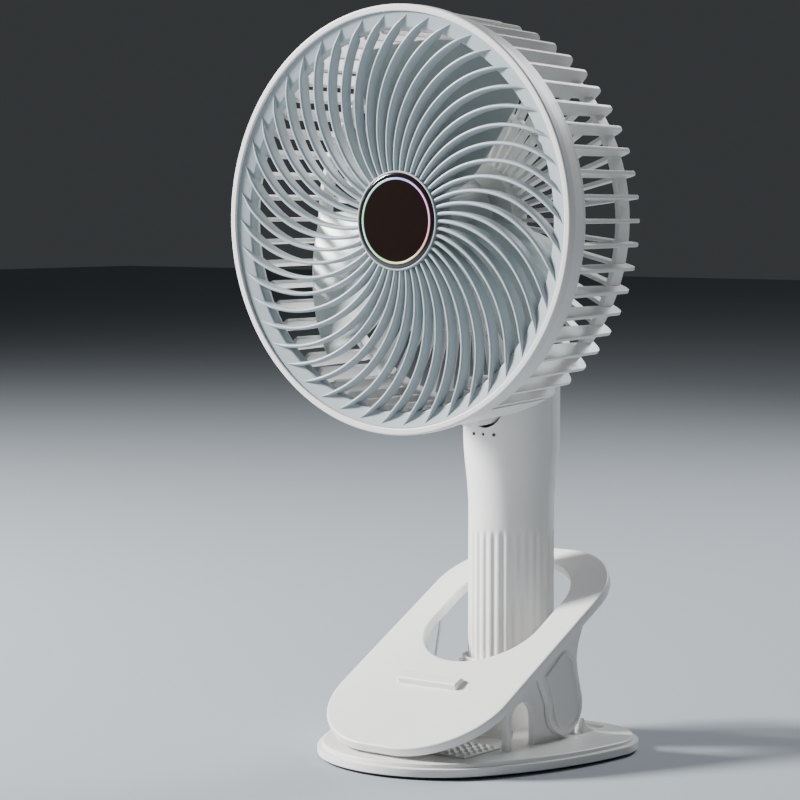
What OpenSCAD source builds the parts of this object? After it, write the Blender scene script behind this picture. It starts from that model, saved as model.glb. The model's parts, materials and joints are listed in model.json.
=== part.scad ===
// Clip-base desk fan. The fan blows towards -Y, +Z is up, and the swivel axis
// of the handle is the Z axis, with the table at Z = 0.

/* [Head] */
// Diameter of the head over the front rim
head_d = 182; // [150:1:220]
// Depth of the head from the front rim to the ends of the fins
head_depth = 60; // [58:1:72]
// Width of the front face of the rim
rim_w = 3; // [2.5:0.1:4]
// Depth of the rim band
rim_depth = 11.5; // [10.5:0.5:13]
// Number of swept vanes in the front grille
vane_count = 46; // [30:1:50]
// Thickness of a grille vane
vane_t = 1.7; // [1.2:0.1:2]
// Depth of a grille vane
vane_depth = 5.6; // [5:0.2:7.4]
// Angle that a vane sweeps from the hub to the rim
vane_sweep = 27; // [15:1:32]
// Number of fins around the rear cage
fin_count = 54; // [36:2:60]
// Thickness of a cage fin
fin_t = 1.7; // [1.2:0.1:2]
// Depth of the spokes that close the back of the cage
spoke_depth = 6; // [5:0.5:7]
// Diameter of the grille's hub
hub_d = 42.4; // [38:0.2:48]
// Diameter of the dark badge on the hub
badge_d = 40.6; // [34:0.2:42]
// Diameter of the pale ring on the badge, at the middle of its line
badge_ring_d = 35.8; // [28:0.2:36]

/* [Impeller and motor] */
// Number of blades
blade_count = 3; // [3:1:5]
// Gap between a blade tip and the cage
tip_gap = 3.2; // [2:0.2:6]
// Thickness of a blade
blade_t = 2; // [1.5:0.1:2.5]
// Pitch of a blade
blade_pitch = 24; // [18:1:26]
// Width of a blade at its tip
blade_tip_w = 80; // [60:1:84]
// Outside diameter of the impeller hub
impeller_hub_d = 42; // [40:1:46]
// Diameter of the motor shaft
shaft_d = 3; // [2.5:0.1:3.4]
// Outside diameter of a motor bearing
bearing_d = 9; // [8:0.5:9]
// Outside diameter of the bearing tube
bearing_tube_d = 12.8; // [12:0.2:13.6]
// Diameter of the stator
stator_d = 30.4; // [29:0.2:30.6]
// Outside diameter of the cage hub that carries the motor
mount_d = 54; // [50:1:60]

/* [Handle] */
// Diameter of the fluted grip
handle_d = 38.8; // [37:0.2:47]
// Height of the tilt axis at the top of the handle above the table
tilt_z = 151; // [146:1:200]
// Extra radius of the handle at its top
handle_flare = 2.4; // [1.6:0.1:4]
// Thickness of the handle's wall
handle_wall = 2; // [1.8:0.1:2.4]
// Number of flutes around the grip
flute_count = 30; // [20:1:36]
// Depth of a flute
flute_depth = 0.55; // [0.3:0.05:0.7]
// Height at which the flutes end
flute_top = 94; // [80:1:100]
// Height at which the handle starts to flare
flare_start = 104; // [101:1:106]
// Gap between the fins and the handle behind them
neck_gap = 5.7; // [5:0.1:9]
// Diameter of the head's hinge tongue
tongue_d = 16; // [12:0.5:17]
// How far the tilt axis lies ahead of the handle's axis
tilt_ahead = 6; // [4:0.5:7]
// Diameter of the tilt pin
tilt_pin_d = 4; // [3:0.2:5]
// Tilt downwards that the tongue's notch leaves room for
tilt_down = 4; // [2:1:10]
// Diameter of the battery cell
cell_d = 21; // [18:0.5:21]
// Length of the battery cell
cell_len = 70; // [50:1:70]
// Diameter of the power button
button_d = 12; // [9:0.5:13]
// Travel of the power button
button_travel = 0.9; // [0.5:0.1:1.1]
// Height of the power button
button_z = 113; // [110:0.5:114]
// Height of the charging port
port_z = 50; // [46:1:58]

/* [Base] */
// Width of the base plate
base_w = 138; // [128:1:160]
// How far the base plate reaches ahead of the handle's axis
base_front = 107; // [104:1:125]
// How far the base plate reaches behind the socket
rear_margin = 2; // [1:0.5:16]
// Radius of the base plate's nose
nose_r = 54; // [48:1:56]
// Radius of the base plate's rear corners
rear_r = 34; // [20:1:34]
// Thickness of the base plate
base_t = 5.5; // [5:0.5:8]
// Thickness of the rubber foot pad
foot_pad_t = 1.2; // [1:0.1:2]
// How far the lever's brackets reach ahead of the handle's axis
bracket_front = 58; // [54:1:60]
// Thickness of a bracket wall
wall_t = 3.2; // [2.6:0.1:4]
// Height of the swivel socket above the table
socket_h = 30; // [26:1:32]
// Height of the collar on the socket
collar_h = 7; // [5:0.5:8]
// Diameter of the swivel spigot
spigot_d = 16; // [12:1:18]
// Thickness of the steel ballast plate
ballast_t = 2; // [1:0.1:2]

/* [Clip lever] */
// Width of the lever
lever_w = 90; // [84:1:108]
// Length of the lever ahead of the handle's axis, along its slope
lever_front = 113; // [108:1:118]
// Length of the lever behind the handle's axis, along its slope
lever_rear = 38; // [36:1:44]
// Slope of the lever
lever_tilt = 28; // [26:1:34]
// Thickness of the lever
lever_t = 4.5; // [3.5:0.5:5]
// Radius of the lever's front corners
lever_front_r = 38; // [20:1:40]
// Radius of the lever's rear corners
lever_rear_r = 34; // [20:1:36]
// Gap between the lever and the handle at the sides of the opening
lever_side_gap = 9.1; // [6:0.1:10]
// How far the opening reaches ahead of the handle's axis, along the slope
opening_front = 51; // [46:1:54]
// Gap between the lever's nose and the base plate
nose_gap = 0.9; // [0.5:0.1:2]
// Height of the lever's hinge above the table
hinge_z = 21; // [20.5:0.5:23]
// How far the lever's hinge lies ahead of the handle's axis
hinge_ahead = 18; // [16:0.5:19]
// Thickness of a lever cheek
cheek_t = 3; // [2.5:0.1:3.5]
// Diameter of a lever pin
lever_pin_d = 5; // [4:0.2:6]
// Diameter of the lever spring's wire
wire_d = 1.2; // [1:0.1:1.4]

/* [Fits] */
// Radial clearance of a turning fit
run_fit = 0.06; // [0.03:0.01:0.1]
// Gap between pieces that are fixed to each other
seat = 0.05; // [0.03:0.01:0.1]
// Gap between pieces that move past each other
gap = 0.35; // [0.3:0.05:0.4]

/* [Hidden] */
$fn = 96;
eps = 0.01;
head_r = head_d / 2;
handle_r = handle_d / 2;
handle_top_r = handle_r + handle_flare;
head_reach = head_depth + neck_gap + handle_top_r;   // rim plane to handle axis
axis_h = tilt_z + head_r - tongue_d / 2;             // height of the fan axis
handle_top = tilt_z + 12;
// grille and cage stations: radii from the rim, depths behind its front face
flange_r = head_r - rim_w - seat;
lip_r = head_r - rim_w - 5.5;
lip_t = 1.5;
vane_r = lip_r - lip_t;                          // inner edge of the flange
vane_tip_r = flange_r - 1.5;                         // where a vane's front runs out
cage_in_r = lip_r - 1.8;
vane_front = 3.6;
impeller_r = cage_in_r - tip_gap;
blade_mid = 31;
// motor stations, as depths behind the rim's front face
hub_front = 13.5;
hub_back = 44;
can_front = hub_front + 2 + seat;
tube_front = 21.5;
mount_front = head_depth - 10;
can_r = impeller_hub_d / 2 - 2 - seat;
magnet_r = can_r - 1.6 - seat;
magnet_t = magnet_r - stator_d / 2 - 0.5;
rotor_back = hub_back - 4;
// handle
inner_r = handle_r - handle_wall;
top_inner_r = handle_top_r - handle_wall;
yoke_z = tilt_z - tongue_d / 2 - 9;
yoke_t = 3;
flare_end = yoke_z + 5;
base_top = foot_pad_t + base_t;
foot_z = base_top + gap;             // underside of the handle's foot
foot_flange_t = 2;
shell_z = foot_z + foot_flange_t + seat;
plug_h = 5;
recess_z = base_top - 3.1;           // ceiling of the washer's recess
recess_r = spigot_d / 2 + 4.2;
washer_h = 1;
washer_top = recess_z - 0.3;
swivel_screw_r = 1.5;
screw_low_z = shell_z + 8;
cradle_z = screw_low_z + 3.6;
cradle_end = 3;
cell_z = cradle_z + cradle_end + seat;
cradle_top = cell_z + cell_len + seat;
cell_y = -4;
spine_y = cell_y + cell_d / 2 + 0.4;
spine_t = 1;
board_y = spine_y + spine_t + seat;
board_t = 1.6;
board_face = board_y + board_t;
board_w = 25;
board_top = cradle_top + cradle_end + 23;
screw_high_z = (board_top + yoke_z) / 2 + 0.2;
boss_r = 2.8;
light_z = yoke_z + yoke_t + 1.8;
switch_h = 3.4;
button_back = board_face + switch_h + button_travel + 0.3;   // inner face of the power button
// lever and its bracket
lever_z = base_top + nose_gap + lever_t * cos(lever_tilt) + lever_front * sin(lever_tilt);
function lever_under(y) = lever_z + y * tan(lever_tilt) - lever_t / cos(lever_tilt);
cheek_x = lever_w / 2 - 2;           // outer face of a lever cheek
cheek_r = hinge_z - base_top - 1.5;  // round end about the hinge
wall_x = cheek_x - cheek_t - gap;    // outer face of a bracket wall
wall_r = cheek_r - 1.8;
wall_front = -bracket_front;
opening_rear = (handle_r + 4.4) / cos(lever_tilt);
opening_r = handle_r + lever_side_gap;
socket_in_r = handle_r + gap;
socket_r = handle_r + 2.6;
throat_r = socket_r + 19;
base_rear = socket_r + rear_margin;

white = [0.92, 0.92, 0.91];
grille_grey = [0.70, 0.76, 0.80];

// ---- places -------------------------------------------------------------

// Head frame: Z is the depth behind the rim's front face, Y points down.
module in_head() translate([0, -head_reach, axis_h]) rotate([-90, 0, 0]) children();

// Lever frame: the top face is Z = 0, Y runs up the slope to the rear.
module in_lever() translate([0, 0, lever_z]) rotate([lever_tilt, 0, 0]) children();

// A profile drawn in (Y, Z), extruded from x by t along X.
module side_plate(x, t) translate([x, 0, 0]) rotate([90, 0, 90]) linear_extrude(t) children();

module both_sides() { children(); mirror([1, 0, 0]) children(); }

module ring(r_out, r_in, z0, z1) translate([0, 0, z0]) difference() {
    cylinder(r = r_out, h = z1 - z0);
    translate([0, 0, -1]) cylinder(r = r_in, h = z1 - z0 + 2);
}

module along_x(x0, x1, r) translate([x0, 0, 0]) rotate([0, 90, 0]) cylinder(r = r, h = x1 - x0);
module along_y(y0, y1, r) translate([0, y0, 0]) rotate([-90, 0, 0]) cylinder(r = r, h = y1 - y0);

// ---- head ---------------------------------------------------------------

module front_rim() color(white) in_head() rotate_extrude()
    polygon([[head_r - rim_w, 0], [head_r - 0.7, 0], [head_r, 0.7], [head_r, 4],
             [head_r - 1.2, rim_depth], [head_r - rim_w, rim_depth]]);

// One vane: an arc that leaves the hub radially and sweeps to the flange.
module vane_2d() {
    r0 = hub_d / 2 - 0.4;
    reach = vane_r - 1;
    dx = reach * cos(vane_sweep) - r0;
    dy = reach * sin(vane_sweep);
    half = atan2(dy, dx);
    bend_r = dx / sin(2 * half);
    intersection() {
        translate([r0, bend_r]) difference() {
            circle(r = bend_r + vane_t / 2);
            circle(r = bend_r - vane_t / 2);
        }
        translate([r0, -vane_t]) square([reach, reach]);
        circle(r = vane_tip_r);
    }
}

module front_grille() color(grille_grey) in_head() {
    rotate_extrude() polygon([
        [flange_r, 1.1], [flange_r, 5.6], [lip_r, 7.4], [vane_r, 7.4], [vane_r, 2.6]]);
    difference() {
        translate([0, 0, 3]) cylinder(d = hub_d, h = 8);
        translate([0, 0, 2]) cylinder(d = badge_d + 2 * seat, h = 2.6);
        translate([0, 0, 6.4]) cylinder(d = hub_d - 3.2, h = 6);
    }
    intersection() {
        linear_extrude(vane_front + vane_depth)
            for (i = [0 : vane_count - 1]) rotate(i * 360 / vane_count) vane_2d();
        // the fronts rise from the hub to the flange, then run out on its slope
        rotate_extrude() polygon([
            [hub_d / 2 - 1, vane_front], [vane_r, 0.3], [vane_tip_r, 1.3], [vane_tip_r, 4],
            [vane_r + 0.7, 4], [vane_r + 0.7, 0.3 + vane_depth],
            [hub_d / 2 - 1, vane_front + vane_depth]]);
    }
}

module hub_badge() color([0.10, 0.08, 0.08]) in_head() difference() {
    translate([0, 0, 2.8]) cylinder(d = badge_d, h = 1.75);
    ring(badge_ring_d / 2 + 0.5, badge_ring_d / 2 - 0.5, 2, 3.5);
}

module badge_ring() color([0.80, 0.72, 0.86]) in_head()
    ring(badge_ring_d / 2 + 0.45, badge_ring_d / 2 - 0.45, 2.6, 3.45);

// The section that every fin and spoke is cut from.
module fin_profile() polygon([
    [cage_in_r, rim_depth + seat], [head_r - 1.4, rim_depth + seat],
    [head_r - 3.8, head_depth - 4], [head_r - 7.5, head_depth],
    [mount_d / 2 - 1, head_depth], [mount_d / 2 - 1, head_depth - spoke_depth],
    [cage_in_r - 3.7, head_depth - spoke_depth], [cage_in_r, head_depth - spoke_depth - 4]]);

module neck_2d() {
    translate([0, head_r - tongue_d / 2]) circle(d = tongue_d);
    translate([-tongue_d / 2, head_r - tongue_d]) square([tongue_d, tongue_d / 2]);
}

module rear_cage() color(white) in_head() difference() {
    tilt_d = head_reach - tilt_ahead;
    union() {
        intersection() {
            rotate_extrude() fin_profile();
            linear_extrude(head_depth + 1) for (i = [0 : fin_count - 1])
                rotate(90 + (i + 0.5) * 360 / fin_count)
                    translate([mount_d / 2 - 2, -fin_t / 2]) square([head_r, fin_t]);
        }
        // front band inside the rim, shoulder, rear ring and middle ring
        ring(flange_r, flange_r - 2.75, 6.8, rim_depth + 1);
        ring(head_r - 1.4, flange_r - 2.75, rim_depth + seat, rim_depth + 2);
        ring(cage_in_r + 1.3, cage_in_r - 1.2, head_depth - 10, head_depth - 2);
        ring(50.9, 49, head_depth - spoke_depth, head_depth - 2);
        // motor mount with its rim and the bearing tube
        ring(mount_d / 2, bearing_d / 2 - 1.5, mount_front, mount_front + 4);
        ring(mount_d / 2, mount_d / 2 - 2, mount_front, head_depth);
        ring(bearing_tube_d / 2, bearing_d / 2, tube_front, mount_front + 1);
        for (i = [0 : 2]) rotate(30 + i * 120) translate([mount_d / 2 - 6, 0, mount_front + 3])
            cylinder(r = 3.2, h = head_depth - mount_front - 3);
        // saddle that closes the cage at the bottom and carries the hinge tongue
        rotate(62) rotate_extrude(angle = 56) polygon([
            [head_r - 4.2, rim_depth + seat], [head_r - 1.4, rim_depth + seat],
            [head_r - 3.8, head_depth - 4], [head_r - 6, head_depth], [head_r - 9, head_depth],
            [head_r - 6.8, head_depth - 6]]);
        translate([-16, head_r - tongue_d, head_depth - 8]) cube([32, tongue_d - 6.4, 8]);
        translate([0, 0, head_depth - 6]) linear_extrude(tilt_d - head_depth + 6) neck_2d();
        translate([0, head_r - tongue_d / 2, tilt_d]) along_x(-tongue_d / 2, tongue_d / 2, tongue_d / 2);
    }
    translate([0, head_r - tongue_d / 2, tilt_d])
        along_x(-tongue_d, tongue_d, tilt_pin_d / 2 + run_fit);
    for (i = [0 : 2]) rotate(30 + i * 120) translate([mount_d / 2 - 6, 0, mount_front + 2])
        cylinder(r = 1.2, h = head_depth);
}

module motor_cover() color(white) in_head() difference() {
    union() {
        translate([0, 0, head_depth + seat]) cylinder(d = mount_d - 1, h = 1.6);
        translate([0, 0, head_depth + 1]) cylinder(d1 = mount_d - 3, d2 = mount_d - 16, h = 4.6);
    }
    for (i = [0 : 2]) rotate(30 + i * 120) translate([mount_d / 2 - 6, 0, head_depth]) {
        translate([0, 0, -1]) cylinder(r = 1.7, h = 10);
        translate([0, 0, 2.2]) cylinder(r = 3.1, h = 8);
    }
}

// A pan-head screw: its head sits on Z = 0 and its shank runs down.
module screw(head_r, shank_r, len) difference() {
    union() {
        cylinder(r = head_r, h = 1.6);
        translate([0, 0, -len]) cylinder(r = shank_r, h = len + 0.5);
    }
    translate([-head_r * 0.6, -0.35, 1]) cube([head_r * 1.2, 0.7, 2]);
    translate([-0.35, -head_r * 0.6, 1]) cube([0.7, head_r * 1.2, 2]);
}

module cover_screws() color([0.6, 0.6, 0.62]) in_head() for (i = [0 : 2])
    rotate(30 + i * 120) translate([mount_d / 2 - 6, 0, head_depth + 2.2 + seat]) screw(2.7, 1.15, 8);

module motor_board() color([0.10, 0.35, 0.20]) in_head()
    ring(17, bearing_tube_d / 2 + 0.3, mount_front - 4, mount_front - 2.4);

module pole_2d() translate([bearing_tube_d / 2, -1.3]) square([stator_d / 2 - bearing_tube_d / 2 - 0.8, 2.6]);

module stator_core() color([0.45, 0.46, 0.48]) in_head() translate([0, 0, tube_front + 2.5])
    linear_extrude(12) difference() {
        union() {
            circle(r = bearing_tube_d / 2 + 1.9);
            for (i = [0 : 5]) rotate(i * 60) pole_2d();
            difference() {
                circle(d = stator_d);
                circle(d = stator_d - 3);
                for (i = [0 : 5]) rotate(i * 60 + 30) translate([0, -1.4]) square([stator_d, 2.8]);
            }
        }
        circle(r = bearing_tube_d / 2 + seat);
    }

module stator_windings() color([0.72, 0.40, 0.20]) in_head() for (i = [0 : 5]) rotate(i * 60)
    translate([bearing_tube_d / 2 + 2.1, 0, tube_front + 2.5]) difference() {
        translate([0, -2.4, -1.2]) cube([stator_d / 2 - bearing_tube_d / 2 - 4, 4.8, 14.4]);
        translate([-1, -1.3 - seat, -seat]) cube([stator_d, 2.6 + 2 * seat, 12 + 2 * seat]);
    }

module motor_bearings() color([0.75, 0.76, 0.78]) in_head() {
    ring(bearing_d / 2 - seat, shaft_d / 2 + run_fit, tube_front + 1, tube_front + 4);
    ring(bearing_d / 2 - seat, shaft_d / 2 + run_fit, mount_front - 4, mount_front - 1);
}

module motor_shaft() color([0.78, 0.79, 0.80]) in_head()
    translate([0, 0, hub_front - 2]) cylinder(d = shaft_d, h = mount_front + 0.5 - hub_front + 2);

module rotor_can() color([0.62, 0.63, 0.65]) in_head() {
    ring(can_r, shaft_d / 2 + seat, can_front, can_front + 1.6);
    ring(can_r, can_r - 1.6, can_front, rotor_back);
}

module magnet_ring() color([0.25, 0.25, 0.27]) in_head()
    ring(magnet_r, magnet_r - magnet_t, tube_front - 1, rotor_back - 1);

// One blade: a pitched plate that widens from the hub to the tip.
module blade() intersection() {
    rotate([blade_pitch, 0, 0]) translate([0, 0, -blade_t / 2]) linear_extrude(blade_t)
        polygon([[impeller_hub_d / 2 - 6, -15], [impeller_r * 0.55, -blade_tip_w * 0.40],
                 [impeller_r * 0.8, -blade_tip_w * 0.49], [impeller_r + 4, -blade_tip_w * 0.5],
                 [impeller_r + 4, blade_tip_w * 0.5], [impeller_r * 0.75, blade_tip_w * 0.46],
                 [impeller_r * 0.5, blade_tip_w * 0.34], [impeller_hub_d / 2 - 6, 13]]);
    ring(impeller_r, impeller_hub_d / 2 - 1, -30, 30);
}

module impeller() color([0.80, 0.84, 0.84]) in_head() {
    difference() {
        translate([0, 0, hub_front]) cylinder(d = impeller_hub_d, h = hub_back - hub_front);
        translate([0, 0, hub_front + 2]) cylinder(d = impeller_hub_d - 4, h = hub_back);
        cylinder(r = shaft_d / 2 + seat, h = hub_back);
    }
    for (i = [0 : blade_count - 1]) rotate(i * 360 / blade_count - 85)
        translate([0, 0, blade_mid]) blade();
}

module impeller_nut() color([0.70, 0.71, 0.73]) in_head()
    difference() {
        translate([0, 0, hub_front - 2]) cylinder(r = 4, h = 2 - seat, $fn = 6);
        cylinder(r = shaft_d / 2 + seat, h = hub_front + 2);
    }

module shaft_clip() color([0.55, 0.56, 0.58]) in_head()
    ring(shaft_d / 2 + 1, shaft_d / 2 + seat / 2, mount_front - 0.7, mount_front - 0.2);

// ---- tilt hinge ---------------------------------------------------------

module at_tilt() translate([0, -tilt_ahead, tilt_z]) children();

washer_t = 1;
yoke_x = tongue_d / 2 + washer_t + 2 * seat + 0.1;

module tilt_pin() color([0.75, 0.76, 0.78]) at_tilt() along_x(-yoke_x - 4, yoke_x + 4, tilt_pin_d / 2);

module tilt_washers() color([0.20, 0.20, 0.22]) both_sides() at_tilt() difference() {
    along_x(tongue_d / 2 + 0.1, tongue_d / 2 + 0.1 + washer_t, tongue_d / 2 - 0.6);
    along_x(0, 30, tilt_pin_d / 2 + seat);
}

module hinge_yoke() color([0.85, 0.85, 0.84]) {
    translate([0, 0, yoke_z]) difference() {
        cylinder(r = top_inner_r - 0.1, h = yoke_t);
        translate([-5, top_inner_r - 7, -1]) cube([10, 10, yoke_t + 2]);
    }
    both_sides() difference() {
        translate([yoke_x, -tilt_ahead - tongue_d / 2, yoke_z + yoke_t - eps])
            cube([2.8, tongue_d, tilt_z + 5 - yoke_z - yoke_t]);
        at_tilt() along_x(0, 40, tilt_pin_d / 2 + seat / 2);
    }
}

// ---- handle -------------------------------------------------------------

flare_steps = 8;
function ease(t) = (1 - cos(180 * t)) / 2;
module shell_profile() polygon(concat(
    [[inner_r, flute_top], [handle_r, flute_top]],
    [for (i = [0 : flare_steps]) let (t = i / flare_steps)
        [handle_r + (handle_top_r - handle_r) * ease(t), flare_start + (flare_end - flare_start) * t]],
    [[handle_top_r, handle_top - 2.5], [handle_top_r - 2.5, handle_top], [0, handle_top],
     [0, handle_top - 2], [top_inner_r, handle_top - 2], [top_inner_r, yoke_z - seat],
     [inner_r, yoke_z - seat]]));

module grip_2d() difference() {
    circle(r = handle_r);
    circle(r = inner_r);
    for (i = [0 : flute_count - 1]) rotate((i + 0.5) * 360 / flute_count)
        translate([handle_r + 1.9 - flute_depth, 0]) circle(r = 1.9, $fn = 24);
}

// The rear half of the handle's skin. The front half is the same, turned round.
module half_shell() {
    rotate_extrude(angle = 180) shell_profile();
    translate([0, 0, shell_z]) linear_extrude(flute_top - shell_z + eps) intersection() {
        grip_2d();
        translate([-handle_r - 1, 0]) square([handle_d + 2, handle_r + 1]);
    }
}

// The split between the shells, opened by the seat gap.
module behind_seam() translate([-100, seat / 2, -1]) cube([200, 100, axis_h + 200]);

module handle_front_shell() color(white) difference() {
    union() {
        intersection() { rotate(180) half_shell(); rotate(180) behind_seam(); }
        for (z = [screw_low_z, screw_high_z]) translate([0, 0, z])
            along_y(-inner_r - 0.5, -seat / 2, boss_r);
    }
    // pilot holes, light holes and the notch for the hinge tongue
    for (z = [screw_low_z, screw_high_z]) translate([0, 0, z]) along_y(-inner_r + 2.5, 1, 1.2);
    for (x = [-5.4, 0, 5.4]) translate([x, 0, light_z]) along_y(-handle_top_r - 2, -10, 0.75);
    translate([0, -tilt_ahead, 0]) rotate([90, 0, 0]) linear_extrude(handle_top_r) {
        translate([0, tilt_z]) circle(r = notch_r);
        translate([-notch_r, tilt_z]) square([2 * notch_r, 30]);
    }
}
notch_r = tongue_d / 2 / cos(tilt_down) + (handle_top_r - tilt_ahead) * tan(tilt_down) + 0.2;

module handle_rear_shell() color(white) difference() {
    union() {
        intersection() { half_shell(); behind_seam(); }
        for (z = [screw_low_z, screw_high_z]) translate([0, 0, z])
            along_y(seat / 2, inner_r + 0.5, boss_r);
    }
    for (z = [screw_low_z, screw_high_z]) translate([0, 0, z]) {
        along_y(-1, handle_top_r + 2, 1.5);
        along_y(inner_r - 2.2, handle_top_r + 2, 2.9 - 0.5);
    }
    translate([0, 0, button_z]) along_y(5, handle_top_r + 5, button_d / 2 + gap);
    translate([-4.7, inner_r - 4, port_z - 1.8]) cube([9.4, 10, 3.6]);
}

module handle_foot() color(white) difference() {
    union() {
        translate([0, 0, foot_z]) cylinder(r = handle_r - 0.2, h = foot_flange_t);
        translate([0, 0, foot_z]) cylinder(r = inner_r - 0.1, h = foot_flange_t + plug_h - 1);
        translate([0, 0, washer_top + seat]) cylinder(d = spigot_d, h = foot_z - washer_top);
    }
    cylinder(r = swivel_screw_r + seat, h = 40);
}

module handle_screws() color([0.6, 0.6, 0.62]) for (z = [screw_low_z, screw_high_z])
    translate([0, inner_r - 2.2, z]) rotate([-90, 0, 0]) screw(2.3, 1.15, inner_r + 6);

module battery_cradle() color([0.20, 0.22, 0.24]) difference() {
    union() {
        translate([0, 0, cradle_z]) cylinder(r = inner_r - 0.15, h = cradle_end);
        translate([0, 0, cradle_top]) cylinder(r = inner_r - 0.15, h = cradle_end);
        translate([-8, spine_y, cradle_z]) cube([16, spine_t, cradle_top + cradle_end - cradle_z]);
    }
    translate([-board_w / 2 - 0.3, spine_y + spine_t, 0]) cube([board_w + 0.6, 20, axis_h]);
}

module battery_cell() color([0.15, 0.42, 0.60]) translate([0, cell_y, cell_z]) {
    cylinder(d = cell_d, h = cell_len - 1);
    cylinder(d = 7, h = cell_len);
}

module control_board() color([0.10, 0.35, 0.20])
    translate([-board_w / 2, board_y, cradle_z]) cube([board_w, board_t, board_top - cradle_z]);

module tact_switch() color([0.15, 0.15, 0.16]) translate([0, board_face + seat, button_z]) {
    translate([-3, 0, -3]) cube([6, 2.4, 6]);
    along_y(2, switch_h, 1.7);
}

module charging_port() color([0.70, 0.71, 0.73]) difference() {
    translate([-4.5, board_face + seat, port_z - 1.6]) cube([9, handle_r - 1 - board_face, 3.2]);
    translate([-4.1, board_face + 3, port_z - 1.2]) cube([8.2, handle_r, 2.4]);
}

module indicator_lights() color([0.10, 0.10, 0.11]) {
    for (x = [-5.4, 0, 5.4]) translate([x, 0, light_z]) along_y(-handle_top_r + 0.35, -14, 0.7);
    translate([-7, -14.5, yoke_z + yoke_t + seat]) cube([14, 1.4, 3.4]);
}

module power_button() color([0.86, 0.87, 0.87]) translate([0, 0, button_z]) {
    along_y(button_back, handle_r + 1.4, button_d / 2);
    along_y(button_back, button_back + 1.2, button_d / 2 + 0.9);
}

module swivel_washer() color([0.6, 0.6, 0.62])
    ring(recess_r - 0.6, swivel_screw_r + 0.1, washer_top - washer_h, washer_top);

// The screw that holds the washer to the foot, with its head downwards.
module swivel_screw() color([0.6, 0.6, 0.62]) translate([0, 0, washer_top - washer_h - seat])
    difference() {
        union() {
            translate([0, 0, -0.8]) cylinder(r = 3, h = 0.8);
            translate([0, 0, -0.2]) cylinder(r = swivel_screw_r, h = 9.2);
        }
        translate([-1.8, -0.3, -2]) cube([3.6, 0.6, 1.6]);
    }

// ---- base ---------------------------------------------------------------

// Outline of the base plate, pulled in by i: two long side arcs that run into
// the nose arc, and a rounded rear edge.
side_k = let (t = (base_w / 2 - nose_r) / (base_front - nose_r), b = 2 * atan(t))
    (base_front - nose_r) / sin(b);
side_b = 2 * atan((base_w / 2 - nose_r) / (base_front - nose_r));
module plate_2d(i = 0) {
    side_r = nose_r + side_k - i;
    join_y = -(base_front - nose_r) - nose_r * sin(side_b);
    translate([0, -(base_front - nose_r)]) circle(r = nose_r - i, $fn = 180);
    intersection() {
        translate([base_w / 2 - i - side_r, 0]) circle(r = side_r, $fn = 360);
        translate([-base_w / 2 + i + side_r, 0]) circle(r = side_r, $fn = 360);
        union() {
            translate([-base_w, join_y]) square([2 * base_w, base_rear - rear_r - join_y]);
            translate([-(base_w / 2 - rear_r), join_y])
                square([base_w - 2 * rear_r, base_rear - i - join_y]);
            for (s = [-1, 1]) translate([s * (base_w / 2 - rear_r), base_rear - rear_r])
                circle(r = rear_r - i);
        }
    }
}

module bracket_2d() difference() {
    union() {
        polygon([[wall_front, base_top - 1], [wall_front, lever_under(wall_front) - 1.5],
                 [-hinge_ahead - 8, lever_under(-hinge_ahead - 8) - 1.5],
                 [-hinge_ahead + wall_r - 1, hinge_z + 5], [-hinge_ahead + wall_r + 1, base_top - 1]]);
        translate([-hinge_ahead, hinge_z]) circle(r = wall_r);
    }
    translate([wall_front + 11.5, hinge_z - 3]) circle(r = 8.5);
    translate([wall_front + 3, 0]) square([17, hinge_z - 3]);
}

module base_frame() color(white) difference() {
    union() {
        translate([0, 0, foot_pad_t]) linear_extrude(base_t - 2) plate_2d();
        translate([0, 0, foot_pad_t + 1]) linear_extrude(base_t - 1) plate_2d(2);
        both_sides() {
            side_plate(wall_x - wall_t, wall_t) bracket_2d();
            // foot that spreads to the cheek's line behind the lever
            side_plate(wall_x - wall_t, cheek_x - wall_x + wall_t) polygon([
                [-hinge_ahead + cheek_r + 0.6, base_top - 1], [-hinge_ahead + cheek_r + 0.6, hinge_z - 6],
                [-hinge_ahead + cheek_r + 2.5, base_top + 4], [-hinge_ahead + cheek_r + 9, base_top - 1]]);
        }
        ring(socket_r, socket_in_r, base_top - 1, socket_h);
        rotate(-90 - 37) rotate_extrude(angle = 74)
            translate([throat_r - 2.4, base_top - 1]) square([2.4, socket_h - base_top + 1]);
    }
    cylinder(r = spigot_d / 2 + run_fit, h = 20);
    translate([0, 0, -1]) cylinder(r = recess_r, h = recess_z + 1);
    both_sides() translate([0, -hinge_ahead, hinge_z]) along_x(20, 60, lever_pin_d / 2 + seat / 2);
    translate([-40.2, -88.2, -1]) cube([80.4, 60.4, foot_pad_t + ballast_t + 0.1 + 1]);
}

module foot_pad() color([0.09, 0.09, 0.10])
    linear_extrude(foot_pad_t - seat) plate_2d(1.5);

module ballast_plate() color([0.5, 0.51, 0.53])
    translate([-40, -88, foot_pad_t]) cube([80, 60, ballast_t]);

module socket_collar() color(white) {
    ring(socket_r + 0.2, socket_in_r, socket_h + seat, socket_h + collar_h);
    for (a = [-130, -50, 50, 130]) rotate(a) translate([socket_r - 0.3, -2, socket_h + 1])
        cube([2, 4, collar_h - 2]);
}

teeth = 6;
tooth_y = 26 / teeth;
module jaw_grip() color(white) translate([-34, -81, base_top + seat]) {
    cube([68, 26, 0.8]);
    rotate([90, 0, 90]) linear_extrude(68) for (i = [0 : teeth - 1])
        polygon([[i * tooth_y + 0.2, 0.7], [(i + 0.5) * tooth_y, 1.9], [(i + 1) * tooth_y - 0.2, 0.7]]);
}

// ---- clip lever ---------------------------------------------------------

module corner_2d(r) difference() { square(r + 1); circle(r = r, $fn = 120); }

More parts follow.
